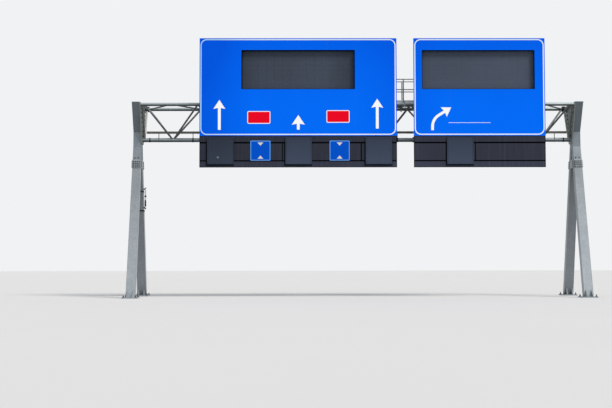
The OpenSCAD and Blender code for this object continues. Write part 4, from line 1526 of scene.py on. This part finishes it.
@dataclass
class SignPanel(Assembly):
    """One sign: film over an aluminium panel, its border line, its graphics and its back."""

    side: Side
    arrows: Sequence[Arrow | CurvedArrow]
    plates: Sequence[Rect] = ()
    bars: Sequence[Rect] = ()
    sheet_w: float = 1.200
    joint: float = 0.0008
    border_in: float = 0.036
    border_w: float = 0.042
    border_r: float = 0.250
    plate_r: float = 0.060
    red_in: float = 0.028
    red_r: float = 0.035
    # The strips that close the sheets' joints behind, and how far they stop from edge and cabinet
    strip_half: float = 0.030
    strip_t: float = 0.004
    strip_in: float = 0.020
    strip_clear: float = 0.060
    near_window: float = 0.100
    rivet_pitch: float = 0.150
    rivet_out: float = 0.018
    # The clips that hold the panel to its rails
    clip_in: float = 0.350
    clip_pitch: float = 0.600
    clip_half: float = 0.020
    clip_h: float = 0.035
    clip_t: float = 0.008
    rail_half: float = 0.025

    def __post_init__(self) -> None:
        """Reads the places of the panel and of its window from the frame."""
        self.read(f"{self.side.value}_sign", PANEL_METAL)
        self.window = window(self.side)

    def build(self) -> None:
        """Builds the film, the graphics, and the fixings on the back."""
        self.film()
        self.border()
        self.graphics()
        self.joint_strips()
        self.clips()

    def column_edges(self) -> list[float]:
        """Gives the joints between sheets: at the window's sides, and about evenly between.

        Returns:
            The places of the joints and of both ends along the truss.
        """
        stops = [self.area.x0, self.window.x0, self.window.x1, self.area.x1]
        edges = []
        for start, stop in zip(stops, stops[1:]):
            count = max(1, round((stop - start) / self.sheet_w))
            edges += [start + (stop - start) * i / count for i in range(count)]
        return [*edges, self.area.x1]

    def layer(self, level: int) -> Flat:
        """Gives the front and back of a layer of film, where the blue one is layer 0."""
        return self.front - FILM_T * (level + 1), self.front - FILM_T * level

    def film(self) -> None:
        """Builds the blue film in sheets, cut out round the window."""
        shape = Shape()
        edges = self.column_edges()
        gap = self.joint / 2
        for x0, x1 in zip(edges, edges[1:]):
            spans = [(self.area.z0, self.window.z0), (self.window.z1, self.area.z1)]
            if x1 <= self.window.x0 + gap or x0 >= self.window.x1 - gap:
                spans = [(self.area.z0, self.area.z1)]
            for z0, z1 in spans:
                shape.plate(Rect(x0 + gap, z0, x1 - gap, z1).corners(), self.layer(0))
        shape.piece(f"{self.name}_film", BLUE_FILM, Slot.SIGN)

    def border(self) -> None:
        """Builds the line that runs round the sign inside its edge."""
        shape = Shape()
        outer = self.area.inset(self.border_in).rounded(self.border_r)
        inner = self.area.inset(self.border_in + self.border_w).rounded(self.border_r - self.border_w)
        shape.hoop(outer, inner, self.layer(1))
        shape.piece(f"{self.name}_border", EDGE_FILM, Slot.SIGN)

    def graphics(self) -> None:
        """Builds the arrows, the plain line and the bare red plates."""
        white = Shape()
        red = Shape()
        for arrow in self.arrows:
            white.plate(arrow.outline(), self.layer(1))
        for bar in self.bars:
            white.plate(bar.corners(), self.layer(1))
        for plate in self.plates:
            white.plate(plate.rounded(self.plate_r), self.layer(1))
            red.plate(plate.inset(self.red_in).rounded(self.red_r), self.layer(2))
        white.piece(f"{self.name}_marks", WHITE_FILM, Slot.SIGN)
        if self.plates:
            red.piece(f"{self.name}_red_plates", RED_FILM, Slot.SIGN)

    def joint_strips(self) -> None:
        """Builds the riveted strips over the joints on the back of the panel."""
        strips = Shape()
        foot, head = self.area.z0 + self.strip_in, self.area.z1 - self.strip_in
        top = self.rear + self.strip_t
        for x in self.column_edges()[1:-1]:
            spans = [(foot, head)]
            if self.window.x0 - self.near_window < x < self.window.x1 + self.near_window:
                below, above = self.window.z0 - self.strip_clear, self.window.z1 + self.strip_clear
                spans = [(foot, below), (above, head)]
            for z0, z1 in spans:
                strips.box((x - self.strip_half, self.rear, z0), (x + self.strip_half, top, z1))
                count = round((z1 - z0) / self.rivet_pitch)
                for k, step in product(range(count), (-self.rivet_out, self.rivet_out)):
                    RIVET.put(strips, (x + step, top, z0 + (k + 0.5) * (z1 - z0) / count), TO_BACK)
        strips.piece(f"{self.name}_joints", PANEL_METAL, Slot.SIGN)

    def clips(self) -> None:
        """Builds the bolted clips above and below each rail."""
        clips = Shape()
        bolts = Shape()
        start, stop = self.area.x0 + self.clip_in, self.area.x1 - self.clip_in
        count = round((stop - start) / self.clip_pitch)
        top = self.rear + self.clip_t
        for z, k, way in product(SIGN_RAILS, range(count + 1), (-1, 1)):
            x = start + (stop - start) * k / count
            z0, z1 = sorted(z + way * out for out in (self.rail_half, self.rail_half + self.clip_h))
            clips.box((x - self.clip_half, self.rear, z0), (x + self.clip_half, top, z1))
            M12.put(bolts, (x, top, (z0 + z1) / 2), TO_BACK)
        clips.piece(f"{self.name}_clips", FRAME_METAL, Slot.FRAME, edge=0.001)
        bolts.piece(f"{self.name}_clip_bolts", BOLT_STEEL, Slot.FRAME)


@dataclass
class Display(Assembly):
    """One display: rows of lamp modules behind the window, in a lined cabinet with rear doors."""

    side: Side
    # How far the seal laps over the sign at the left, below, at the right and above
    laps: Floats = (0.004, 0.004, 0.002, 0.002)
    # How far it reaches into the window, in the same order; farthest at the top and the right, where the black rubber
    # stands in for the shade under and beside the window's walls
    reaches: Floats = (0.010, 0.006, 0.034, 0.044)
    seal_t: float = 0.006
    seal_depth: float = 0.012
    seal_r: float = 0.006
    panel_y: float = -1.500
    face_y: float = -1.200
    module_w: float = 0.320
    module_h: float = 0.194
    module_depth: float = 0.150
    gap: float = 0.0015
    liner: float = 0.003
    clearance: float = 0.004
    doors: int = 4
    door_gap: float = 0.050
    door_t: float = 0.006
    fitting_in: float = 0.150
    hinge_out: float = 0.004
    hinge_half: float = 0.060
    latch_in: float = 0.050
    slats: int = 6
    slat_up: float = 0.100
    slat_pitch: float = 0.022
    slat_half: float = 0.160
    slat_sunk: float = 0.0005
    # A slat's section, by how far it stands out and up
    slat: Flats = ((0.0, 0.0), (0.012, 0.004), (0.012, 0.008), (0.0, 0.012))

    def __post_init__(self) -> None:
        """Reads the places of the cabinet and the window from the frame."""
        self.read(f"{self.side.value}_display", CABINET_PAINT)
        self.window = window(self.side)

    def build(self) -> None:
        """Builds the modules, the liner and the doors."""
        self.modules()
        self.lining()
        self.rear_doors()

    def modules(self) -> None:
        """Builds the lamp modules, each a rounded tile with a thin gap to the next."""
        shape = Shape()
        area = self.window.inset(self.liner + self.clearance)
        columns = round((area.x1 - area.x0) / self.module_w)
        rows = round((area.z1 - area.z0) / self.module_h)
        wide = (area.x1 - area.x0) / columns
        tall = (area.z1 - area.z0) / rows
        front = self.face_y - self.module_depth
        for column, row in product(range(columns), range(rows)):
            x = area.x0 + column * wide + self.gap / 2
            z = area.z0 + row * tall + self.gap / 2
            shape.box((x, front, z), (x + wide - self.gap, self.face_y, z + tall - self.gap))
        shape.piece(f"{self.name}_modules", DISPLAY_FACE, Slot.CABINET, edge=0.001)

    def lining(self) -> None:
        """Builds the dark sheet that lines the window back to the modules, and the seal round it, whose black rubber
        stands in for shade at the window's top and right.
        """
        sheet = Shape()
        inner = self.window.inset(self.liner).corners()
        sheet.hoop(self.window.corners(), inner, (self.panel_y + 0.001, self.face_y))
        sheet.piece(f"{self.name}_liner", LINER_PAINT, Slot.CABINET)
        seal = Shape()
        opening = self.window.grow(*(-reach for reach in self.reaches))
        loops = [rect.rounded(self.seal_r, 3) for rect in (self.window.grow(*self.laps), opening)]
        seal.hoop(*loops, (self.panel_y - self.seal_t, self.panel_y + self.seal_depth))
        seal.piece(f"{self.name}_seal", SEAL_RUBBER, Slot.CABINET, edge=0.001)

    def rear_doors(self) -> None:
        """Builds the cabinet's rear doors with their hinges, latches and vents."""
        doors = Shape()
        fittings = Shape()
        wide = (self.area.x1 - self.area.x0 - self.door_gap) / self.doors
        z0, z1 = self.area.z0 + self.door_gap, self.area.z1 - self.door_gap
        top = self.rear + self.door_t
        for k in range(self.doors):
            x0 = self.area.x0 + self.door_gap + k * wide
            x1 = x0 + wide - self.door_gap
            doors.box((x0, self.rear, z0), (x1, top, z1))
            for z in (z0 + self.fitting_in, z1 - self.fitting_in):
                HINGE.put(fittings, (x0 - self.hinge_out, top, z - self.hinge_half), UP)
                LATCH.put(fittings, (x1 - self.latch_in, top, z), TO_BACK)
            middle = (x0 + x1) / 2
            ends = (middle - self.slat_half, middle + self.slat_half)
            foot = top - self.slat_sunk
            for i in range(self.slats):
                z = z0 + self.slat_up + i * self.slat_pitch
                doors.skin([[(x, foot + out, z + up) for out, up in self.slat] for x in ends])
        doors.piece(f"{self.name}_doors", CABINET_PAINT, Slot.CABINET, edge=0.0015)
        fittings.piece(f"{self.name}_fittings", LINER_PAINT, Slot.CABINET)


@dataclass
class Board(Assembly):
    """One dark backing board: black strips in its grooves that stand in for their shade, rubber in its sheet joints,
    edge trim and screws.
    """

    side: Side
    # Place and width of each upright seal between two sheets
    seams: Flats
    # Height and width of the black strip in each groove, from the lower one up; it stands in for the groove's shade
    seals_and_groove_shade: Flats = ((5.400, 0.050), (6.120, 0.064))
    trim: float = 0.018
    trim_drop: float = 0.004
    # How far the seams and side trims, the lower trim and the groove strips stand out
    seam_t: float = 0.003
    foot_t: float = 0.0027
    seal_t: float = 0.0021
    seal_in: float = 0.002
    seal_depth: float = 0.008
    screw_pitch: float = 0.300
    screws_up: Flat = (0.050, 0.190)
    screws_down: Flat = (0.330, 0.050)

    def __post_init__(self) -> None:
        """Reads the board's place from the frame."""
        self.read(f"{self.side.value}_board", BOARD_PAINT)

    def build(self) -> None:
        """Builds the groove strips, which stand in for the grooves' shade, the joint strips, the trim and the screws.
        """
        low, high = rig.box(self.name)
        front = self.front
        strips = Shape()
        foot, head = (z for z, _ in self.seals_and_groove_shade)
        for x, wide in self.seams:
            strips.box((x - wide / 2, front - self.seam_t, foot), (x + wide / 2, front + 0.002, head))
        for x in (low.x, high.x - self.trim):
            top = high.z - self.trim_drop
            strips.box((x, front - self.seam_t, low.z), (x + self.trim, front + 0.001, top))
        strips.box((low.x, front - self.foot_t, low.z), (high.x, front + 0.001, low.z + self.trim))
        # Black rubber in each groove stands in for its shade
        for z, tall in self.seals_and_groove_shade:
            corner = (low.x + self.seal_in, front - self.seal_t, z - tall / 2)
            strips.box(corner, (high.x - self.seal_in, front + self.seal_depth, z + tall / 2))
        strips.piece(f"{self.name}_seals", SEAL_RUBBER, Slot.BOARD, edge=0.001)
        screws = Shape()
        count = round((high.x - low.x) / self.screw_pitch)
        rows = [low.z + up for up in self.screws_up] + [high.z - down for down in self.screws_down]
        for k, z in product(range(count), rows):
            x = low.x + (k + 0.5) * (high.x - low.x) / count
            BOARD_SCREW.put(screws, (x, front, z), TO_TRAFFIC)
            BOARD_SCREW.put(screws, (x, high.y, z), TO_BACK)
        screws.piece(f"{self.name}_screws", BOARD_PAINT, Slot.BOARD)


@dataclass
class LaneSignal(Assembly):
    """One lane signal: a lamp plate in the hood's rim, its bezel, a dark foam gasket that stands in for the case's
    shadow, screws and rear door.
    """

    number: int
    # The middle of the round sensor in the lamp plate, where the signal has one
    eye: Flat | None = None
    rim: float = 0.040
    recess: float = 0.025
    plate_gap: float = 0.004
    plate_in: float = 0.003
    plate_r: float = 0.020
    bezel_t: float = 0.004
    bezel_in: float = 0.012
    bezel_lap: float = 0.004
    bezel_r: float = 0.012
    door_in: float = 0.110
    door_t: float = 0.006
    door_r: float = 0.030
    proud: float = 0.070
    gasket_t: float = 0.014
    # The foam is widest at the left and below, where it stands in for the shadow of the proud case
    gasket_left: float = 0.045
    gasket_right: float = 0.010
    gasket_below: float = 0.050
    gasket_top: float = 6.150
    lap: float = 0.001
    screw_in: float = 0.025
    screw_shares: Floats = (0.06, 0.5, 0.94)
    latch_up: float = 0.120
    latch_in: float = 0.050

    def __post_init__(self) -> None:
        """Reads the signal's place from the frame."""
        self.read(f"signal_{self.number}", SIGNAL_CASE)
        self.door = self.area.inset(self.door_in)

    def build(self) -> None:
        """Builds the lamp plate, the bezel with the rear door, the gasket that stands in for the case's shadow, and
        the fixings.
        """
        plate = Shape()
        plate_y = self.front + self.plate_in
        outline = self.area.inset(self.rim + self.plate_gap).rounded(self.plate_r, 4)
        plate.plate(outline, (plate_y, self.front + self.recess + self.lap))
        plate.piece(f"{self.name}_lamp_plate", SIGNAL_FACE, Slot.SIGNAL)
        bezel = Shape()
        outer = self.area.inset(self.bezel_in).rounded(self.bezel_r, 3)
        inner = self.area.inset(self.rim - self.bezel_lap).rounded(self.bezel_r, 3)
        bezel.hoop(outer, inner, (self.front - self.bezel_t, self.front + self.lap))
        bezel.plate(self.door.rounded(self.door_r, 4), (self.rear - self.lap, self.rear + self.door_t))
        bezel.piece(f"{self.name}_bezel", SIGNAL_CASE, Slot.SIGNAL, edge=0.001)
        self.shade_gasket()
        self.fixings()
        if self.eye:
            lens = Shape()
            LENS.put(lens, (self.eye[0], plate_y, self.eye[1]), TO_TRAFFIC)
            lens.piece(f"{self.name}_sensor", GLASS, Slot.SIGNAL)

    def shade_gasket(self) -> None:
        """Builds the dark foam between the case and the board, below and at both sides, where it stands in for the
        case's shadow.
        """
        shape = Shape()
        area = self.area
        behind = self.front + self.proud + self.lap
        front = self.front + self.proud - self.gasket_t
        left, right = area.x0 - self.gasket_left, area.x1 + self.gasket_right
        foot = area.z0 - self.gasket_below
        shape.box((left, front, foot), (right, behind, area.z0 + self.lap))
        shape.box((left, front, area.z0), (area.x0 + self.lap, behind, self.gasket_top))
        shape.box((area.x1 - self.lap, front, area.z0), (right, behind, self.gasket_top))
        shape.piece(f"{self.name}_gasket", SHADE_GASKET_FOAM, Slot.SIGNAL)

    def fixings(self) -> None:
        """Builds the bezel's screws and the rear door's latches."""
        shape = Shape()
        area = self.area
        line = area.inset(self.screw_in)
        for share in self.screw_shares:
            x = area.x0 + share * (area.x1 - area.x0)
            z = area.z0 + share * (area.z1 - area.z0)
            for place_x, place_z in ((x, line.z0), (x, line.z1), (line.x0, z), (line.x1, z)):
                SIGNAL_SCREW.put(shape, (place_x, self.front - self.bezel_t, place_z), TO_TRAFFIC)
        x = self.door.x1 - self.latch_in
        for z in (self.door.z0 + self.latch_up, self.door.z1 - self.latch_up):
            LATCH.put(shape, (x, self.rear + self.door_t, z), TO_BACK)
        shape.piece(f"{self.name}_screws", LINER_PAINT, Slot.SIGNAL)


@dataclass
class HeightPlates(Assembly):
    """The two square plates between the signals, with an edge line and a triangle above and below."""

    worn = {"height_plates": PLATE_FILM}
    centres: Floats = (-3.889, -0.759)
    edge_in: float = 0.010
    edge_w: float = 0.021
    edge_r: float = 0.030
    inner_r: float = 0.012
    mark_in: float = 0.078
    triangle_half: float = 0.115
    triangle_h: float = 0.125
    screw_out: float = 0.340
    screw_in: float = 0.060

    def build(self) -> None:
        """Builds the edge lines and triangles, and the screws that hold the plates."""
        low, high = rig.box("height_plates")
        half = (high.z - low.z) / 2
        layer = (low.y - FILM_T, low.y)
        edges = Shape()
        marks = Shape()
        screws = Shape()
        for x in self.centres:
            plate = Rect(x - half, low.z, x + half, high.z)
            outer = plate.inset(self.edge_in).rounded(self.edge_r, 4)
            inner = plate.inset(self.edge_in + self.edge_w).rounded(self.inner_r, 4)
            edges.hoop(outer, inner, layer)
            for base, way in ((high.z - self.mark_in, -1), (low.z + self.mark_in, 1)):
                left, right = (x - self.triangle_half, base), (x + self.triangle_half, base)
                marks.plate([left, right, (x, base + way * self.triangle_h)], layer)
            heights = (low.z + self.screw_in, high.z - self.screw_in)
            for step, z in product((-self.screw_out, self.screw_out), heights):
                PLATE_SCREW.put(screws, (x + step, low.y, z), TO_TRAFFIC)
        edges.piece("height_plate_edges", PALE_BLUE_FILM, Slot.SIGN)
        marks.piece("height_plate_marks", CREAM_FILM, Slot.SIGN)
        screws.piece("height_plate_screws", BOLT_STEEL, Slot.SIGN)


@dataclass
class SignFrame(Assembly):
    """The posts, rails and bracket arms, with U-bolts round the chords and cleats at the rails."""

    worn = {"*_sign_posts": FRAME_METAL, "sign_rails": FRAME_METAL, "sign_brackets": BAR_STEEL}
    rods: Shape = field(default_factory=Shape)
    bolts: Shape = field(default_factory=Shape)
    cleats: Shape = field(default_factory=Shape)
    posts: Floats = (-6.160, -4.720, -3.430, -1.330, 0.105, 1.370, 2.320, 5.060, 7.260)
    # These posts stop below the top rail
    short_posts: Floats = (-3.430, -1.330, 5.060)
    front_y: float = -1.390
    back_y: float = -1.270
    post_half: float = 0.050
    rod: float = 0.008
    rod_out: float = 0.030
    rod_end: float = 0.035
    bend_steps: int = 14
    saddle_depth: float = 0.065
    plate_half: float = 0.095
    plate_t: float = 0.012
    # How far the end plate's bolts stand beside and above its middle
    plate_bolt: Flat = (0.030, 0.070)
    cleat_half: float = 0.030
    cleat_t: float = 0.006
    cleat_leg: float = 0.055
    cleat_depth: float = 0.070
    # How far a cleat's bolts stand from its corner, along the rail and back along the post
    cleat_bolt: Flat = (0.032, 0.042)
    sunk: float = 0.001

    def build(self) -> None:
        """Builds the U-bolts, the end plates, the cleats and their bolts."""
        rails = (BOARD_RAIL, *SIGN_RAILS)
        for x in self.posts:
            for chord in (TOP_CHORDS[Face.FRONT], BOTTOM_CHORD):
                for step in (-self.rod_out, self.rod_out):
                    self.u_bolt(chord.point(x + step), chord.radius)
                self.arm_plate(x, chord.z)
            for z in rails[:-1] if x in self.short_posts else rails:
                self.cleat(x, z)
        self.rods.piece("frame_u_bolts", BOLT_STEEL, Slot.FRAME)
        self.cleats.piece("frame_cleats", BAR_STEEL, Slot.FRAME, edge=0.001)
        self.bolts.piece("frame_bolts", BOLT_STEEL, Slot.FRAME)

    def u_bolt(self, centre: Vector, radius: float) -> None:
        """Bends a rod round the back of a chord, with a nut on each leg in front of the saddle.

        Args:
            centre: The chord's middle at the rod.
            radius: The chord's radius.
        """
        x, y, z = centre
        bend = radius + self.rod
        front = y - radius - self.saddle_depth
        path = [Vector((x, front - self.rod_end, z + bend))]
        for step in range(self.bend_steps + 1):
            angle = math.pi / 2 - math.pi * step / self.bend_steps
            path.append(Vector((x, y + bend * math.cos(angle), z + bend * math.sin(angle))))
        path.append(Vector((x, front - self.rod_end, z - bend)))
        self.rods.tube(path, self.rod)
        for level in (z + bend, z - bend):
            M16.put(self.bolts, (x, front, level), TO_TRAFFIC)

    def arm_plate(self, x: float, z: float) -> None:
        """Puts a welded end plate between a post and its arm, with four bolts.

        Args:
            x: The post's place along the truss.
            z: The arm's height.
        """
        top = self.back_y + self.plate_t
        wide, tall = self.post_half, self.plate_half
        self.cleats.box((x - wide, self.back_y - self.sunk, z - tall), (x + wide, top, z + tall))
        beside, above = self.plate_bolt
        for step_x, step_z in product((-beside, beside), (-above, above)):
            M16.put(self.bolts, (x + step_x, top, z + step_z), TO_BACK)

    def cleat(self, x: float, z: float) -> None:
        """Puts an angle cleat on each side of a post where it crosses a rail.

        Args:
            x: The post's place along the truss.
            z: The rail's height.
        """
        front, half = self.front_y, self.cleat_half
        along, back = self.cleat_bolt
        for way in (-1, 1):
            edge = x + way * self.post_half
            for out, depth in ((self.cleat_t, self.cleat_depth), (self.cleat_leg, self.cleat_t)):
                low, high = sorted((edge, edge + way * out))
                self.cleats.box((low, front, z - half), (high, front + depth, z + half))
            M12.put(self.bolts, (edge + way * along, front + self.cleat_t, z), TO_BACK)
            M12.put(self.bolts, (edge + way * self.cleat_t, front + back, z), (way, 0, 0))


@dataclass
class CableRun(Assembly):
    """The cable duct's lids and bracket sleeves, the signs' cable pipe, and the leg conduit's fittings."""

    worn = {"cable_duct": DUCT_STEEL, "leg_conduit": STRAP_PLASTIC}
    duct_z: float = 6.685
    duct_h: float = 0.080
    duct_w: float = 0.140
    lid_out: float = 0.004
    lid_drop: float = 0.016
    lid_gap: float = 0.006
    lid_t: float = 0.003
    strap_in: float = 0.060
    strap_half: float = 0.015
    strap_t: float = 0.003
    bracket_pitch: float = 1.390
    bracket_shift: float = 0.115
    sleeve_half: float = 0.019
    sleeve_t: float = 0.010
    band_x: float = 8.430
    pipe_at: Flat = (0.655, 7.795)
    pipe_radius: float = 0.026
    pipe_ends: Flat = (-6.100, 7.200)
    pipe_lengths: int = 5
    conduit_radius: float = 0.025
    conduit_z: float = 4.040
    # The lower and upper ends of the pale sleeves, and how far they stand out
    sleeves_z: Flats = ((3.640, 3.705), (3.965, 4.085), (4.165, 4.450))
    sleeve_out: float = 0.002
    coupler_z: float = 3.710
    gland_z: float = 4.090
    caps_z: Flat = (3.605, 4.475)
    # A buckle's plate and its tongue: near and far face, half its width and half its height
    buckle: Sequence[Point] = ((0.007, 0.022, 0.050, 0.035), (0.021, 0.030, 0.030, 0.012))
    buckles_z: Flat = (3.530, 4.310)

    def build(self) -> None:
        """Builds the lids, bracket sleeves, lamp cable pipe and conduit fittings."""
        self.lids()
        self.bracket_sleeves()
        self.lamp_pipe()
        self.conduit()

    def lids(self) -> None:
        """Builds a folded lid over each length of duct, with joint straps and screws."""
        shape = Shape()
        screws = Shape()
        top = self.duct_z + self.duct_h / 2
        half = self.duct_w / 2 + self.lid_out
        reach = half + self.strap_t
        for k in range(BAYS):
            x0 = station(k) + self.lid_gap / 2
            x1 = x0 + BAY - self.lid_gap
            shape.box((x0, -half, top - self.lid_drop), (x1, half, top + self.lid_t))
            for x in (x0 + self.strap_in, (x0 + x1) / 2, x1 - self.strap_in):
                under = top - self.duct_h - self.strap_t
                over = top + self.lid_t + self.strap_t
                shape.box((x - self.strap_half, -reach, under), (x + self.strap_half, reach, over))
                for way in (-1, 1):
                    M12.put(screws, (x, way * reach, self.duct_z), (0, way, 0))
        shape.piece("duct_lids", DUCT_STEEL, Slot.DUCT, edge=0.001)
        screws.piece("duct_screws", BOLT_STEEL, Slot.DUCT)

    def bracket_sleeves(self) -> None:
        """Wraps a rubber sleeve round the brackets' straps, and a clamp band at each end."""
        shape = Shape()
        places = []
        for k in range(BAYS):
            node = station(k + 0.5)
            middle = node - math.copysign(self.bracket_shift, node)
            places += [middle - self.bracket_pitch / 2, middle + self.bracket_pitch / 2]
        # The outermost brackets stand bare, with the band beyond them
        for x in (-self.band_x, *places[1:-1], self.band_x):
            BOTTOM_CHORD.band(shape, (x - self.sleeve_half, x + self.sleeve_half), self.sleeve_t, sides=40)
        shape.piece("duct_bracket_sleeves", SEAL_RUBBER, Slot.DUCT)

    def lamp_pipe(self) -> None:
        """Lays the pipe for the signs' cables on the bracing, beside the rear top chord."""
        shape = Shape()
        left, right = (Vector((x, *self.pipe_at)) for x in self.pipe_ends)
        shape.tube([left, right], self.pipe_radius, sides=24)
        for k in range(1, self.pipe_lengths):
            x = left.x + (right.x - left.x) * k / self.pipe_lengths
            SOCKET.put(shape, (x, *self.pipe_at), (1, 0, 0))
        shape.piece("lamp_cable_pipe", PIPE_STEEL, Slot.DUCT)

    def conduit(self) -> None:
        """Builds the pale sleeves, the black coupler, gland and end caps, and the straps' buckles."""
        thin = self.conduit_radius
        thick = thin + self.sleeve_out
        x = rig.box("leg_conduit")[1].x - thin
        y = Columns.middle(self.conduit_z)
        sleeves = Shape()
        for z0, z1 in self.sleeves_z:
            tall = z1 - z0
            bevel = self.sleeve_out
            profile = [(thin, 0.0), (thick, bevel), (thick, tall - bevel), (thin, tall)]
            sleeves.lathe(profile, (x, y, z0), UP, 24)
        sleeves.piece("conduit_sleeves", SLEEVE_PLASTIC, Slot.STRAP)
        fittings = Shape()
        COUPLER.put(fittings, (x, y, self.coupler_z), UP)
        GLAND.put(fittings, (x, y, self.gland_z), UP)
        for z, way in zip(self.caps_z, (-1, 1)):
            CONDUIT_CAP.put(fittings, (x, y, z), (0, 0, way))
        fittings.piece("conduit_fittings", STRAP_PLASTIC, Slot.STRAP)
        buckles = Shape()
        for z, (near, far, wide, tall) in product(self.buckles_z, self.buckle):
            middle = Columns.middle(z)
            low = (near - Columns.inner_x, middle - wide, z - tall)
            buckles.box(low, (far - Columns.inner_x, middle + wide, z + tall))
        buckles.piece("strap_buckles", STRAP_PLASTIC, Slot.STRAP, edge=0.003)


# Studio


@dataclass
class Studio:
    """The pale floor, the soft lamp, the pale background and the camera."""

    # A pale painted floor with slow clouds some 6.7 m wide
    floor_half: float = 240.0
    floor_z: float = -0.001
    floor_tone: str = "#e4e5e6"
    cloud_tone: str = "#e1e2e4"
    cloud_size: float = 1 / 0.15
    back_tone: str = "#f1f2f4"
    sky_tone: str = "#f4f7fb"
    sky_strength: float = 0.5
    key_tone: str = "#fffaf2"
    key_strength: float = 2.3
    key_height: float = 48.0
    key_turn: float = 45.0
    key_spread: float = 22.0
    camera_at: Point = (-2.46, -48.3, 1.27)
    lens: float = 69.95
    pitch: float = 2.96
    turn: float = 0.45
    roll: float = -0.1
    sight: float = 1000.0

    def build(self) -> None:
        """Builds the stage, the lamp and the camera."""
        self.floor()
        self.lamp()
        self.world()
        self.camera()

    def floor(self) -> None:
        """Builds the floor just under the base plates."""
        mesh = bpy.data.meshes.new("floor")
        half = self.floor_half
        corners = Rect(-half, -half, half, half).corners()
        mesh.from_pydata([(x, y, self.floor_z) for x, y in corners], [], [(0, 1, 2, 3)])
        material = bpy.data.materials.new("painted studio floor")
        material.use_nodes = True
        tree = material.node_tree
        tree.nodes.clear()
        spot = (add_node(tree, "TexCoord"), "Object")
        cloud = add_node(tree, "TexNoise", {"Vector": spot, "Scale": 1 / self.cloud_size, "Detail": 3.0})
        tones = {0: cloud, MIX_A: self.floor_tone, MIX_B: self.cloud_tone}
        colour = (add_node(tree, "Mix", tones, **BLEND), MIX_OUT)
        dull = {"Base Color": colour, "Roughness": 0.9, "Specular IOR Level": 0.1}
        shader = add_node(tree, "BsdfPrincipled", dull)
        add_node(tree, "OutputMaterial", {"Surface": shader})
        mesh.materials.append(material)
        floor = bpy.data.objects.new("floor", mesh)
        bpy.context.scene.collection.objects.link(floor)
        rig.stage(floor)

    def lamp(self) -> None:
        """Hangs one broad lamp, high in front and to the right."""
        lamp = bpy.data.lights.new("key_lamp", "SUN")
        lamp.energy = self.key_strength
        lamp.color = linear(self.key_tone)[:3]
        lamp.angle = math.radians(self.key_spread)
        hung = bpy.data.objects.new("key_lamp", lamp)
        tilt = Matrix.Rotation(math.radians(90 - self.key_height), 4, "X")
        hung.matrix_world = Matrix.Rotation(math.radians(self.key_turn), 4, "Z") @ tilt
        bpy.context.scene.collection.objects.link(hung)

    def world(self) -> None:
        """Lights the object evenly, and shows a pale background to the camera and to gloss."""
        world = bpy.data.worlds.new("studio_world")
        bpy.context.scene.world = world
        world.use_nodes = True
        tree = world.node_tree
        tree.nodes.clear()
        ray = add_node(tree, "LightPath")
        rays = {0: (ray, "Is Camera Ray"), 1: (ray, "Is Glossy Ray")}
        seen = add_node(tree, "Math", rays, operation="ADD")
        rays = {0: seen, 1: (ray, "Is Transmission Ray")}
        shown = add_node(tree, "Math", rays, operation="ADD", use_clamp=True)
        light = add_node(tree, "Background", {"Color": self.sky_tone, "Strength": self.sky_strength})
        back = add_node(tree, "Background", {"Color": self.back_tone, "Strength": 1.0})
        mixed = add_node(tree, "MixShader", {0: shown, 1: light, 2: back})
        add_node(tree, "OutputWorld", {"Surface": mixed})

    def camera(self) -> None:
        """Sets the camera at the photograph's height, distance and framing."""
        camera = bpy.data.cameras.new("photo_camera")
        camera.lens = self.lens
        camera.clip_end = self.sight
        stood = bpy.data.objects.new("photo_camera", camera)
        aim = Matrix.Rotation(math.radians(-self.turn), 4, "Z")
        aim @= Matrix.Rotation(math.radians(90 + self.pitch), 4, "X")
        aim @= Matrix.Rotation(math.radians(self.roll), 4, "Z")
        stood.matrix_world = Matrix.Translation(self.camera_at) @ aim
        bpy.context.scene.collection.objects.link(stood)
        bpy.context.scene.camera = stood
        bpy.context.scene.view_settings.view_transform = "Standard"


# The left sign's three arrows and two bare red plates, and the right sign's thin plain line
LEFT_ARROWS = (
    Arrow(-5.514, 7.820, 6.629),
    Arrow(-2.392, 7.216, 6.637, head_w=0.52, head_l=0.385),
    Arrow(0.734, 7.862, 6.675),
)
RED_PLATES = (Rect(-4.408, 6.870, -3.496, 7.373), Rect(-1.277, 6.909, -0.361, 7.405))
PLAIN_LINE = Rect(3.558, 6.900, 5.225, 6.915)


def main() -> None:
    """Loads the frame, dresses it, builds every piece in order and notes the two sizes."""
    logging.basicConfig(level=logging.INFO, format="%(message)s")
    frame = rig.load()
    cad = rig.bounds()
    for assembly in (
        Columns(),
        Truss(),
        Walkway(),
        SignPanel(Side.LEFT, LEFT_ARROWS, RED_PLATES),
        SignPanel(Side.RIGHT, (CurvedArrow(),), bars=(PLAIN_LINE,)),
        Display(Side.LEFT, laps=(0.022, 0.004, 0.002, 0.008)),
        Display(Side.RIGHT),
        Board(Side.LEFT, ((-3.020, 0.030), (0.098, 0.044))),
        Board(Side.RIGHT, ((3.470, 0.030), (4.620, 0.034))),
        LaneSignal(1, eye=(-5.567, 5.528)),
        *map(LaneSignal, (2, 3, 4)),
        HeightPlates(),
        SignFrame(),
        CableRun(),
    ):
        LOG.info("building %s", type(assembly).__name__)
        assembly.dress(frame["nodes"])
        assembly.build()
    Studio().build()
    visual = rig.bounds()
    SIZE_FILE.write_text(json.dumps({"cad": [list(c) for c in cad], "visual": [list(c) for c in visual]}))


if __name__ == "__main__":
    main()
